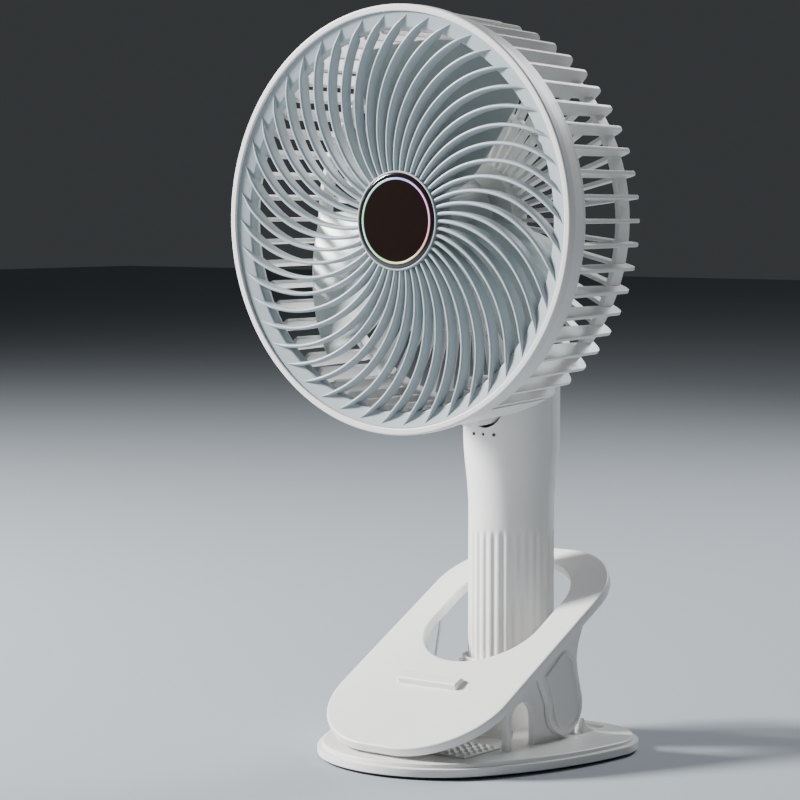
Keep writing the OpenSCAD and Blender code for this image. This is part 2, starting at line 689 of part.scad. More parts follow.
module lever_2d() difference() {
    translate([-lever_w / 2, -lever_front]) square([lever_w, lever_front + lever_rear]);
    both_sides() {
        translate([lever_w / 2 - lever_front_r, -lever_front + lever_front_r]) mirror([0, 1]) corner_2d(lever_front_r);
        translate([lever_w / 2 - lever_rear_r, lever_rear - lever_rear_r]) corner_2d(lever_rear_r);
    }
    translate([0, -opening_front + opening_r]) circle(r = opening_r);
    translate([0, opening_rear - opening_r]) circle(r = opening_r);
    translate([-opening_r, -opening_front + opening_r])
        square([2 * opening_r, opening_front + opening_rear - 2 * opening_r]);
}

module cheek_2d() {
    rise = lever_under(-hinge_ahead) - hinge_z;
    polygon([[-hinge_ahead + 14.5, lever_under(-hinge_ahead + 14.5) + 1],
             [-hinge_ahead + 9.5, hinge_z + 0.93 * rise],
             [-hinge_ahead + 8, hinge_z + 0.72 * rise], [-hinge_ahead + 9, hinge_z + 0.5 * rise],
             [-hinge_ahead + cheek_r - 0.9, hinge_z + 0.18 * rise],
             [-hinge_ahead - cheek_r + 0.2, hinge_z + 0.07 * rise],
             [-hinge_ahead - 20, hinge_z + 0.54 * rise],
             [-hinge_ahead - 30, lever_under(-hinge_ahead - 30) + 1]]);
    translate([-hinge_ahead, hinge_z]) circle(r = cheek_r);
}

module clip_lever() color(white) difference() {
    union() {
        in_lever() {
            translate([0, 0, -lever_t]) linear_extrude(lever_t) lever_2d();
            // finger rest across the slope
            translate([-16, -71, -0.5]) rotate([90, 0, 90]) linear_extrude(32)
                polygon([[0, 0], [0.6, 2.9], [6.2, 2.4], [8, 0]]);
        }
        both_sides() side_plate(cheek_x - cheek_t, cheek_t) cheek_2d();
    }
    both_sides() translate([0, -hinge_ahead, hinge_z]) along_x(20, 60, lever_pin_d / 2 + run_fit);
}

module lever_pad() color([0.22, 0.23, 0.24]) in_lever()
    translate([-28, -105, -lever_t - seat - 1.3]) cube([56, 22, 1.3]);

// Oblong cover over the pin's end: a round foot about the hinge that widens
// towards the lever.
module side_cover_2d() {
    cover_r = cheek_r - 2.4;
    rise = lever_under(-hinge_ahead) - hinge_z;
    polygon([[-hinge_ahead + cover_r - 0.4, hinge_z + 0.1 * rise],
             [-hinge_ahead + 6, hinge_z + 0.5 * rise], [-hinge_ahead + 5, hinge_z + 0.72 * rise],
             [-hinge_ahead - 1, lever_under(-hinge_ahead - 1) - 3.5],
             [-hinge_ahead - 4, lever_under(-hinge_ahead - 4) - 3],
             [-hinge_ahead - 15, lever_under(-hinge_ahead - 15) - 0.15 * rise],
             [-hinge_ahead - 16.5, hinge_z + 0.54 * rise],
             [-hinge_ahead - cover_r + 0.2, hinge_z + 0.07 * rise]]);
    translate([-hinge_ahead, hinge_z]) circle(r = cover_r);
}
module side_cover_right() color([0.82, 0.82, 0.81]) side_plate(cheek_x + seat, 1.2) side_cover_2d();
module side_cover_left() color([0.82, 0.82, 0.81]) mirror([1, 0, 0]) side_plate(cheek_x + seat, 1.2) side_cover_2d();

module lever_pins() color([0.75, 0.76, 0.78]) both_sides() translate([0, -hinge_ahead, hinge_z])
    along_x(wall_x - wall_t - 9, cheek_x - 0.3, lever_pin_d / 2);

// Spring wire as one swept tube: a leg that stands on the base plate, the coil
// round the pin, and a leg that pushes the lever up behind its hinge.
coil_r = lever_pin_d / 2 + wire_d / 2 + 0.7;
coil_x = wall_x - wall_t - 8;
turn_steps = 14;
wire_sides = 6;
a0 = -20;                                  // coil angle where the lower leg leaves
a1 = -15 + 360 * 5;                        // and where the upper one does
coil_steps = 5 * turn_steps;
low_leg = (coil(a0)[2] - base_top - wire_d / 2 - 0.1) / cos(a0);
up_leg = (lever_under(coil(a1)[1]) - coil(a1)[2] - wire_d / 2 - 0.1)
    / (cos(a1) + tan(lever_tilt) * sin(a1));
function coil(a) = [coil_x + 6.6 * (a - a0) / (a1 - a0),
                    -hinge_ahead + coil_r * cos(a), hinge_z + coil_r * sin(a)];
function coil_dir(a) = [0, -sin(a), cos(a)];
wire_path = concat(
    [coil(a0) - coil_dir(a0) * low_leg],
    [for (k = [0 : coil_steps]) coil(a0 + (a1 - a0) * k / coil_steps)],
    [coil(a1) + coil_dir(a1) * up_leg]);
function unit(v) = v / norm(v);
module swept_wire(path) {
    n = len(path);
    frames = [for (i = [0 : n - 1]) let (
        t = unit(path[min(i + 1, n - 1)] - path[max(i - 1, 0)]),
        u = unit(cross(t, [1, 0, 0])), v = cross(t, u)) [u, v]];
    pts = [for (i = [0 : n - 1], k = [0 : wire_sides - 1]) let (w = 360 * k / wire_sides)
        path[i] + wire_d / 2 * (cos(w) * frames[i][0] + sin(w) * frames[i][1])];
    faces = concat(
        [[for (k = [0 : wire_sides - 1]) k]],
        [for (i = [0 : n - 2], k = [0 : wire_sides - 1]) let (k2 = (k + 1) % wire_sides)
            [i * wire_sides + k, (i + 1) * wire_sides + k, (i + 1) * wire_sides + k2, i * wire_sides + k2]],
        [[for (k = [wire_sides - 1 : -1 : 0]) (n - 1) * wire_sides + k]]);
    polyhedron(pts, faces);
}
module lever_springs() color([0.55, 0.56, 0.58]) both_sides() swept_wire(wire_path);

// ---- drawing ------------------------------------------------------------

front_rim();
front_grille();
hub_badge();
badge_ring();
rear_cage();
motor_cover();
cover_screws();
motor_board();
stator_core();
stator_windings();
motor_bearings();
motor_shaft();
rotor_can();
magnet_ring();
impeller();
impeller_nut();
shaft_clip();
tilt_pin();
tilt_washers();
hinge_yoke();
handle_front_shell();
handle_rear_shell();
handle_foot();
handle_screws();
battery_cradle();
battery_cell();
control_board();
tact_switch();
charging_port();
indicator_lights();
power_button();
swivel_washer();
swivel_screw();
socket_collar();
base_frame();
foot_pad();
ballast_plate();
jaw_grip();
clip_lever();
lever_pad();
side_cover_left();
side_cover_right();
lever_pins();
lever_springs();
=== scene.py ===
"""Looks of a clip-base desk fan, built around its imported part.

Lengths are in millimetres until a piece is finished. The frame is the part's own: +Z up, the
table at Z = 0, the handle's swivel axis on Z, and the fan facing -Y.
"""

import json
import logging
import math
from collections.abc import Sequence
from dataclasses import dataclass, field
from enum import Enum

import bmesh
import bpy
from mathutils import Matrix, Vector
from mathutils.geometry import tessellate_polygon

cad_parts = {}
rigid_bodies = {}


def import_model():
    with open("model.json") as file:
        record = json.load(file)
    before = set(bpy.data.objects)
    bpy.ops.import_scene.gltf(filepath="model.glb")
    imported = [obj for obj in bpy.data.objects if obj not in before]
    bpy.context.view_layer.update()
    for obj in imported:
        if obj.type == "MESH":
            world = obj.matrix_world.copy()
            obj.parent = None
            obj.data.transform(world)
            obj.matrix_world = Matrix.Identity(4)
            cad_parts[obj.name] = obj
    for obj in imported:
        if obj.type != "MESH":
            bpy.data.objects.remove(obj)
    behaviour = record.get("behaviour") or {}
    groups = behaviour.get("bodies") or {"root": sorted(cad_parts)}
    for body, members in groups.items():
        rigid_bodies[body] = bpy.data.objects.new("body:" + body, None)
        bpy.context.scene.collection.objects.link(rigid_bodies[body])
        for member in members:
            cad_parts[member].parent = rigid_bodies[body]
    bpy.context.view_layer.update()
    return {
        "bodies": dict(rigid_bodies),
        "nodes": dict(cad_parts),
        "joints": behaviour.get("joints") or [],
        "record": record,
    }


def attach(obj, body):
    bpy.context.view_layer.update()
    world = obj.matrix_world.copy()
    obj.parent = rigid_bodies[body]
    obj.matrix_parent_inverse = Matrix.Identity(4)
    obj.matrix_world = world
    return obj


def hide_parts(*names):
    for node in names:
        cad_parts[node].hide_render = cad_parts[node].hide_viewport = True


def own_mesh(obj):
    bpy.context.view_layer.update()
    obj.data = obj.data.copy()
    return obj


LOG = logging.getLogger("desk_fan")
MM = 0.001
TINY = 1e-9
SHORTEST_EDGE = 1e-6  # a corner beside a shorter edge stays sharp
FLATTEST_TURN = math.pi - 0.06  # a corner opener than this stays sharp
EDGE_SHARE = 0.47  # the most of an edge that one rounded corner takes
IDENTITY = Matrix.Identity(4)
# Local Z runs along +Y.
BACKWARDS = Matrix.Rotation(math.radians(-90), 4, "X")
# Local (a, b, c) runs along Y, Z and X, for plates that stand upright beside each other.
UPRIGHT = Matrix(((0, 0, 1, 0), (1, 0, 0, 0), (0, 1, 0, 0), (0, 0, 0, 1)))
# Local (a, b, c) runs along X, Z and Y.
FACING = Matrix(((1, 0, 0, 0), (0, 0, 1, 0), (0, 1, 0, 0), (0, 0, 0, 1)))

Point = tuple[float, float]
Colour = tuple[float, float, float]
Row = list[bmesh.types.BMVert]
Socket = bpy.types.NodeSocket


# ---- outlines -------------------------------------------------------------


def arc(centre: Point, radius: float, start: float, end: float, steps: int) -> list[Point]:
    """Points on an arc.

    Args:
        centre: Middle of the arc.
        radius: Radius of the arc.
        start: Angle of the first point, in degrees.
        end: Angle of the last point, in degrees.
        steps: Number of segments.

    Returns:
        The points, both ends included.
    """
    angles = [math.radians(start + (end - start) * k / steps) for k in range(steps + 1)]
    return [(centre[0] + radius * math.cos(a), centre[1] + radius * math.sin(a)) for a in angles]


def fillet(points: Sequence[Point], radius: float | Sequence[float], steps: int = 4) -> list[Point]:
    """Rounds the corners of a closed outline.

    Args:
        points: Corners in order.
        radius: One radius, or one for each corner.
        steps: Segments in each rounded corner.

    Returns:
        The rounded outline.
    """
    radii = [float(radius)] * len(points) if isinstance(radius, (int, float)) else list(radius)
    out: list[Point] = []
    for i, wanted in enumerate(radii):
        here, before = Vector(points[i]), Vector(points[i - 1])
        after = Vector(points[(i + 1) % len(points)])
        a, b = before - here, after - here
        sharp = wanted <= 0 or min(a.length, b.length) < SHORTEST_EDGE
        if sharp or a.angle(b) > FLATTEST_TURN:
            out.append(tuple(here))
            continue
        turn = a.angle(b)
        reach = min(wanted / math.tan(turn / 2), EDGE_SHARE * a.length, EDGE_SHARE * b.length)
        real = reach * math.tan(turn / 2)
        inwards = (a.normalized() + b.normalized()).normalized()
        middle = here + inwards * (real / math.sin(turn / 2))
        first = here + a.normalized() * reach - middle
        last = here + b.normalized() * reach - middle
        sweep = math.atan2(first.x * last.y - first.y * last.x, first.dot(last))
        for k in range(steps + 1):
            c, s = math.cos(sweep * k / steps), math.sin(sweep * k / steps)
            out.append(
                (middle.x + first.x * c - first.y * s, middle.y + first.x * s + first.y * c)
            )
    return out


def area(loop: Sequence[Point]) -> float:
    """Signed area of a closed outline, positive if it runs counter-clockwise.

    Args:
        loop: The outline.

    Returns:
        The area.
    """
    return 0.5 * sum(
        loop[i - 1][0] * loop[i][1] - loop[i][0] * loop[i - 1][1] for i in range(len(loop))
    )


def inset(loop: Sequence[Point], depth: float) -> list[Point]:
    """Moves each point of an outline to its left, along the mean of its edges' normals.

    Args:
        loop: The outline.
        depth: How far each edge moves.

    Returns:
        The moved outline, with as many points.
    """
    if abs(depth) < TINY:
        return list(loop)
    out: list[Point] = []
    for i, p in enumerate(loop):
        a, b = Vector(loop[i - 1]), Vector(loop[(i + 1) % len(loop)])
        u, v = (Vector(p) - a), (b - Vector(p))
        u = u.normalized() if u.length > TINY else v.normalized()
        v = v.normalized() if v.length > TINY else u
        nu, nv = Vector((-u.y, u.x)), Vector((-v.y, v.x))
        scale = depth / max(0.35, 1 + nu.dot(nv))
        out.append((p[0] + (nu.x + nv.x) * scale, p[1] + (nu.y + nv.y) * scale))
    return out


def mirrored(frame: Matrix) -> tuple[Matrix, Matrix]:
    """A frame and its mirror image across X = 0."""
    return frame, Matrix.Scale(-1, 4, (1, 0, 0)) @ frame


def clamp(value: float) -> float:
    """A value kept between 0 and 1."""
    return min(1.0, max(0.0, value))


# ---- solids ---------------------------------------------------------------


class Solid:
    """A mesh under construction, in millimetres."""

    def __init__(self) -> None:
        """Starts with an empty mesh."""
        self.mesh = bmesh.new()

    def _row(self, points: Sequence[Vector]) -> Row:
        """Adds a row of vertices."""
        return [self.mesh.verts.new(p) for p in points]

    def _strip(self, rows: list[Row], closed: bool, around: bool = False) -> None:
        """Joins rows of vertices with quads.

        Args:
            rows: The rows, each with as many vertices.
            closed: Whether each row ends where it starts.
            around: Whether the last row joins the first.
        """
        for i in range(len(rows) if around else len(rows) - 1):
            low, high = rows[i], rows[(i + 1) % len(rows)]
            n = len(low)
            for k in range(n if closed else n - 1):
                corners = [low[k], low[(k + 1) % n], high[(k + 1) % n], high[k]]
                if len(set(corners)) == 4:
                    self.mesh.faces.new(corners)

    def _cap(self, loops: list[Row], flat: list[list[Point]]) -> None:
        """Closes a flat face that may have holes.

        Args:
            loops: The vertices of its outline, then of its holes.
            flat: The same loops as points of a plane.
        """
        verts = [v for loop in loops for v in loop]
        triangles = tessellate_polygon([[Vector((x, y, 0)) for x, y in loop] for loop in flat])
        for a, b, c in triangles:
            if len({a, b, c}) == 3 and self.mesh.faces.get([verts[a], verts[b], verts[c]]) is None:
                self.mesh.faces.new([verts[a], verts[b], verts[c]])

    def revolve(
        self,
        profile: Sequence[Point],
        frame: Matrix = IDENTITY,
        segments: int = 144,
        start: float = 0.0,
        sweep: float = 360.0,
    ) -> "Solid":
        """Turns a closed profile of (radius, height) points round the local Z axis.

        Args:
            profile: Points of the section.
            frame: Where the local frame lies.
            segments: Segments in the sweep.
            start: First angle in degrees.
            sweep: Angle turned through in degrees.

        Returns:
            This solid.
        """
        full = sweep > 359.9
        rings = []
        for k in range(segments if full else segments + 1):
            w = math.radians(start + sweep * k / segments)
            c, s = math.cos(w), math.sin(w)
            rings.append(self._row([frame @ Vector((r * c, r * s, z)) for r, z in profile]))
        self._strip(rings, True, full)
        if not full:
            for ring in (rings[0], rings[-1]):
                self._cap([ring], [list(profile)])
        return self

    def lathe(
        self,
        corners: Sequence[Point],
        radii: float | Sequence[float],
        frame: Matrix = IDENTITY,
        segments: int = 144,
        *span: float,
        steps: int = 4,
    ) -> "Solid":
        """Turns a section whose corners are rounded.

        Args:
            corners: Corners of the section, as (radius, height).
            radii: One corner radius, or one for each corner.
            frame: Where the local frame lies.
            segments: Segments in the sweep.
            span: First angle and angle turned through, unless it is a whole turn.
            steps: Segments in each rounded corner.

        Returns:
            This solid.
        """
        return self.revolve(fillet(corners, radii, steps), frame, segments, *span)

    def stack(
        self,
        loops: Sequence[Sequence[Point]],
        stations: Sequence[Point],
        frame: Matrix = IDENTITY,
    ) -> "Solid":
        """Builds a plate whose outline is drawn in at each station.

        Args:
            loops: The outer outline, then its holes.
            stations: Pairs of height and inset, from the bottom to the top.
            frame: Where the local frame lies.

        Returns:
            This solid.
        """
        turned = [
            list(lp) if (area(lp) > 0) == (i == 0) else list(lp)[::-1] for i, lp in enumerate(loops)
        ]
        ends = []
        for height, depth in stations:
            flat = [inset(lp, depth) for lp in turned]
            made = [self._row([frame @ Vector((x, y, height)) for x, y in lp]) for lp in flat]
            ends.append((made, flat))
        for below, above in zip(ends, ends[1:]):
            for low, high in zip(below[0], above[0]):
                self._strip([low, high], True)
        for made, flat in (ends[0], ends[-1]):
            self._cap(made, flat)
        return self

    def prism(
        self,
        loops: Sequence[Sequence[Point]],
        low: float,
        high: float,
        edge: float = 0.3,
        frame: Matrix = IDENTITY,
        steps: int = 3,
    ) -> "Solid":
        """Extrudes an outline and rounds its two rims.

        Args:
            loops: The outer outline, then its holes.
            low: Height of the bottom.
            high: Height of the top.
            edge: Radius of the rims.
            frame: Where the local frame lies.
            steps: Segments in each rim.

        Returns:
            This solid.
        """
        turns = [math.pi / 2 * k / steps for k in range(steps + 1)]
        lower = [(low + edge * (1 - math.cos(t)), edge * (1 - math.sin(t))) for t in turns]
        upper = [(high - (z - low), i) for z, i in reversed(lower)]
        return self.stack(loops, [*lower, *upper], frame)

    def rod(
        self,
        radius: float,
        low: float,
        high: float,
        edge: float = 0.01,
        frame: Matrix = IDENTITY,
        segments: int = 48,
    ) -> "Solid":
        """Adds a round bar along the local Z axis.

        Args:
            radius: Radius of the bar.
            low: Height of its bottom.
            high: Height of its top.
            edge: Radius of its rims.
            frame: Where the local frame lies.
            segments: Segments round it.

        Returns:
            This solid.
        """
        corners = [(0, low), (radius, low), (radius, high), (0, high)]
        return self.lathe(corners, [0, edge, edge, 0], frame, segments)

    def loft(self, sections: Sequence[Sequence[Vector]]) -> "Solid":
        """Joins closed sections into a bar with an end face on its first and last.

        Args:
            sections: Points of each section, each with as many.

        Returns:
            This solid.
        """
        rows = [self._row(section) for section in sections]
        self._strip(rows, True)
        for row in (rows[0], rows[-1]):
            self.mesh.faces.new(row)
        return self

    def tube(self, path: Sequence[Vector], radius: float, sides: int = 12) -> "Solid":
        """Sweeps a round wire along a path.

        Args:
            path: Points of its middle line.
            radius: Radius of the wire.
            sides: Points in each section.

        Returns:
            This solid.
        """
        sections = []
        last = len(path) - 1
        turns = [2 * math.pi * k / sides for k in range(sides)]
        for i, p in enumerate(path):
            along = (path[min(i + 1, last)] - path[max(i - 1, 0)]).normalized()
            u = along.cross(Vector((1, 0, 0))).normalized()
            v = along.cross(u)
            sections.append([p + (u * math.cos(w) + v * math.sin(w)) * radius for w in turns])
        return self.loft(sections)

    def sheet(self, rows: Sequence[Sequence[Vector]]) -> "Solid":
        """Adds an open grid of quads through rows of points."""
        self._strip([self._row(row) for row in rows], False)
        return self

    def absorb(self, other: bpy.types.Mesh, frame: Matrix = IDENTITY) -> "Solid":
        """Adds a finished mesh and removes it from the file.

        Args:
            other: The mesh.
            frame: Where its own frame lies.

        Returns:
            This solid.
        """
        known = set(self.mesh.verts)
        self.mesh.from_mesh(other)
        fresh = [v for v in self.mesh.verts if v not in known]
        bmesh.ops.transform(self.mesh, matrix=frame, verts=fresh)
        bpy.data.meshes.remove(other)
        return self

    def to_mesh(self, name: str, scale: float = 1.0) -> bpy.types.Mesh:
        """Merges doubles, turns every face outwards and ends the work on this solid.

        Args:
            name: The mesh's name.
            scale: What its lengths are multiplied by.

        Returns:
            The mesh.
        """
        bmesh.ops.remove_doubles(self.mesh, verts=self.mesh.verts, dist=0.002)
        bmesh.ops.dissolve_degenerate(self.mesh, dist=1e-4, edges=self.mesh.edges)
        bmesh.ops.recalc_face_normals(self.mesh, faces=self.mesh.faces)
        bmesh.ops.scale(self.mesh, vec=(scale,) * 3, verts=self.mesh.verts)
        made = bpy.data.meshes.new(name)
        self.mesh.to_mesh(made)
        self.mesh.free()
        return made

    def cut(self, *cutters: "Solid") -> "Solid":
        """Takes the cutters out of this solid.

        Args:
            cutters: The solids to take out, one after the other.

        Returns:
            This solid.
        """
        body = Workshop.scratch(self.to_mesh("body"))
        for cutter in cutters:
            tool = Workshop.scratch(cutter.to_mesh("cutter"))
            step = body.modifiers.new("cut", "BOOLEAN")
            step.operation, step.solver, step.object = "DIFFERENCE", "EXACT", tool
            made = Workshop.evaluated(body)
            body.modifiers.clear()
            body.data = made
            bpy.data.objects.remove(tool)
        self.mesh = bmesh.new()
        self.mesh.from_mesh(body.data)
        bpy.data.objects.remove(body)
        return self


class Workshop:
    """Short-lived objects that modifiers run on."""

    @staticmethod
    def scratch(mesh: bpy.types.Mesh) -> bpy.types.Object:
        """Puts a mesh in the scene as an object.

        Args:
            mesh: The mesh.

        Returns:
            The object.
        """
        made = bpy.data.objects.new(mesh.name, mesh)
        bpy.context.scene.collection.objects.link(made)
        return made

    @staticmethod
    def evaluated(obj: bpy.types.Object) -> bpy.types.Mesh:
        """The mesh of an object with its modifiers applied."""
        graph = bpy.context.evaluated_depsgraph_get()
        return bpy.data.meshes.new_from_object(obj.evaluated_get(graph))


# ---- node trees -------------------------------------------------------------


class Wiring:
    """Adds nodes to one tree with short calls."""

    def __init__(self, tree: bpy.types.NodeTree) -> None:
        """Keeps the tree."""
        self.tree = tree

    def feed(self, target: Socket, value: object) -> None:
        """Links an input to a socket, or sets it to a constant.

        Args:
            target: The input.
            value: The socket or the constant.
        """
        if isinstance(value, Socket):
            self.tree.links.new(value, target)
        else:
            target.default_value = value

    def add(
        self, kind: str, wanted: dict[str | int, object] | None = None, **facts: object
    ) -> bpy.types.Node:
        """Adds a node.

        Args:
            kind: The node's type.
            wanted: Values or sockets for its inputs, by name or place.
            facts: The node's own settings.

        Returns:
            The node.
        """
        made = self.tree.nodes.new(kind)
        for key, value in facts.items():
            setattr(made, key, value)
        for key, value in (wanted or {}).items():
            self.feed(made.inputs[key], value)
        return made

    def maths(self, operation: str, *values: object) -> Socket:
        """Does one sum.

        Args:
            operation: The sum's name.
            values: Constants or sockets.

        Returns:
            The result's socket.
        """
        return self.add("ShaderNodeMath", dict(enumerate(values)), operation=operation).outputs[0]


class Repeat(Wiring):
    """Base of the Geometry Nodes groups that repeat one unit mesh."""

    name = "repeat"
    inputs: tuple[tuple[str, str], ...] = ()

    def __init__(self) -> None:
        """Makes the group, with its named inputs and its last two steps."""
        super().__init__(bpy.data.node_groups.new(self.name, "GeometryNodeTree"))
        face = self.tree.interface
        sockets = (("Unit", "Geometry"), *self.inputs, ("Material", "Material"))
        for label, kind in sockets:
            face.new_socket(label, in_out="INPUT", socket_type=f"NodeSocket{kind}")
        face.new_socket("Geometry", in_out="OUTPUT", socket_type="NodeSocketGeometry")
        self.given = self.add("NodeGroupInput").outputs
        real = self.add("GeometryNodeRealizeInstances", {"Geometry": self.wire()})
        wanted = {"Geometry": real.outputs["Geometry"], "Material": self.given["Material"]}
        painted = self.add("GeometryNodeSetMaterial", wanted)
        self.add("NodeGroupOutput", {"Geometry": painted.outputs["Geometry"]})

    def wire(self) -> Socket:
        """Builds the nodes that make the instances, and returns their socket."""
        raise NotImplementedError

    def made(self, unit: Solid, material: bpy.types.Material, **values: float) -> bpy.types.Mesh:
        """Runs the group on a unit.

        Args:
            unit: The part to repeat.
            material: What the copies are made of.
            values: The group's inputs by name, with _ for a space.

        Returns:
            The mesh of all the copies.
        """
        obj = Workshop.scratch(unit.to_mesh("unit"))
        step = obj.modifiers.new("repeat", "NODES")
        step.node_group = self.tree
        wanted = {"Material": material} | {k.replace("_", " "): v for k, v in values.items()}
        for item in self.tree.interface.items_tree:
            if item.in_out == "INPUT" and item.name in wanted:
                step[item.identifier] = wanted[item.name]
        mesh = Workshop.evaluated(obj)
        obj.modifiers.clear()
        bpy.data.objects.remove(obj)
        return mesh


class RadialRepeat(Repeat):
    """Turns copies of a unit round its Z axis."""

    name = "radial_repeat"
    inputs = (("Count", "Int"), ("Start", "Float"), ("Step", "Float"))

    def wire(self) -> Socket:
        """Duplicates the unit as instances and turns each by its index.

        Returns:
            The instances' socket.
        """
        packed = self.add("GeometryNodeGeometryToInstance", {"Geometry": self.given["Unit"]})
        copies = self.add(
            "GeometryNodeDuplicateElements",
            {"Geometry": packed.outputs[0], "Amount": self.given["Count"]},
            domain="INSTANCE",
        )
        turn = self.maths("MULTIPLY", copies.outputs["Duplicate Index"], self.given["Step"])
        turn = self.maths("RADIANS", self.maths("ADD", turn, self.given["Start"]))
        wanted = {
            "Instances": copies.outputs["Geometry"],
            "Rotation": self.add("ShaderNodeCombineXYZ", {"Z": turn}).outputs[0],
            "Local Space": False,
        }
        return self.add("GeometryNodeRotateInstances", wanted).outputs[0]


class GridRepeat(Repeat):
    """Sets copies of a unit on a grid about the origin."""

    name = "grid_repeat"
    inputs = (("Size X", "Float"), ("Size Y", "Float"), ("Columns", "Int"), ("Rows", "Int"))

    def wire(self) -> Socket:
        """Instances the unit on the points of a mesh grid.

        Returns:
            The instances' socket.
        """
        keys = ("Size X", "Size Y", "Vertices X", "Vertices Y")
        labels = [label for label, _ in self.inputs]
        wanted = {key: self.given[label] for key, label in zip(keys, labels)}
        points = self.add("GeometryNodeMeshGrid", wanted).outputs["Mesh"]
        wanted = {"Points": points, "Instance": self.given["Unit"]}
        return self.add("GeometryNodeInstanceOnPoints", wanted).outputs[0]


class Shading(Wiring):
    """Adds shader nodes to one tree with short calls."""

    def where(self) -> Socket:
        """Place on the object, in its own coordinates."""
        return self.add("ShaderNodeTexCoord").outputs["Object"]

    def times(self, a: object, b: object) -> Socket:
        """One value times another."""
        return self.maths("MULTIPLY", a, b)

    def swing(self, value: object, middle: float, amount: object) -> Socket:
        """How far a value lies from its middle, times an amount."""
        return self.times(self.maths("SUBTRACT", value, middle), amount)

    def noise(
        self, scale: object, detail: float = 3.0, place: Socket | None = None, fac: float = 0.5
    ) -> Socket:
        """Adds a noise.

        Args:
            scale: Scale of the noise, per metre.
            detail: Levels of finer noise in it.
            place: Where it is read, unless it is the place on the object.
            fac: Share that each finer level keeps.

        Returns:
            The noise's socket.
        """
        wanted = {"Vector": place or self.where(), "Scale": scale}
        wanted |= {"Detail": detail, "Roughness": fac}
        return self.add("ShaderNodeTexNoise", wanted).outputs["Fac"]


class Effect(Enum):
    """The shared shader effects."""

    MOULDED = "moulded_plastic"
    BRUSHED = "brushed_lines"
    # Its group paints an iridescent sheen into the pearl ring's colour, fixed round the ring.
    PEARL = "pearl_painted_sheen"
    WOUND = "wound_wire"
    TRACES = "board_traces"
    PEBBLED = "pebbled_rubber"


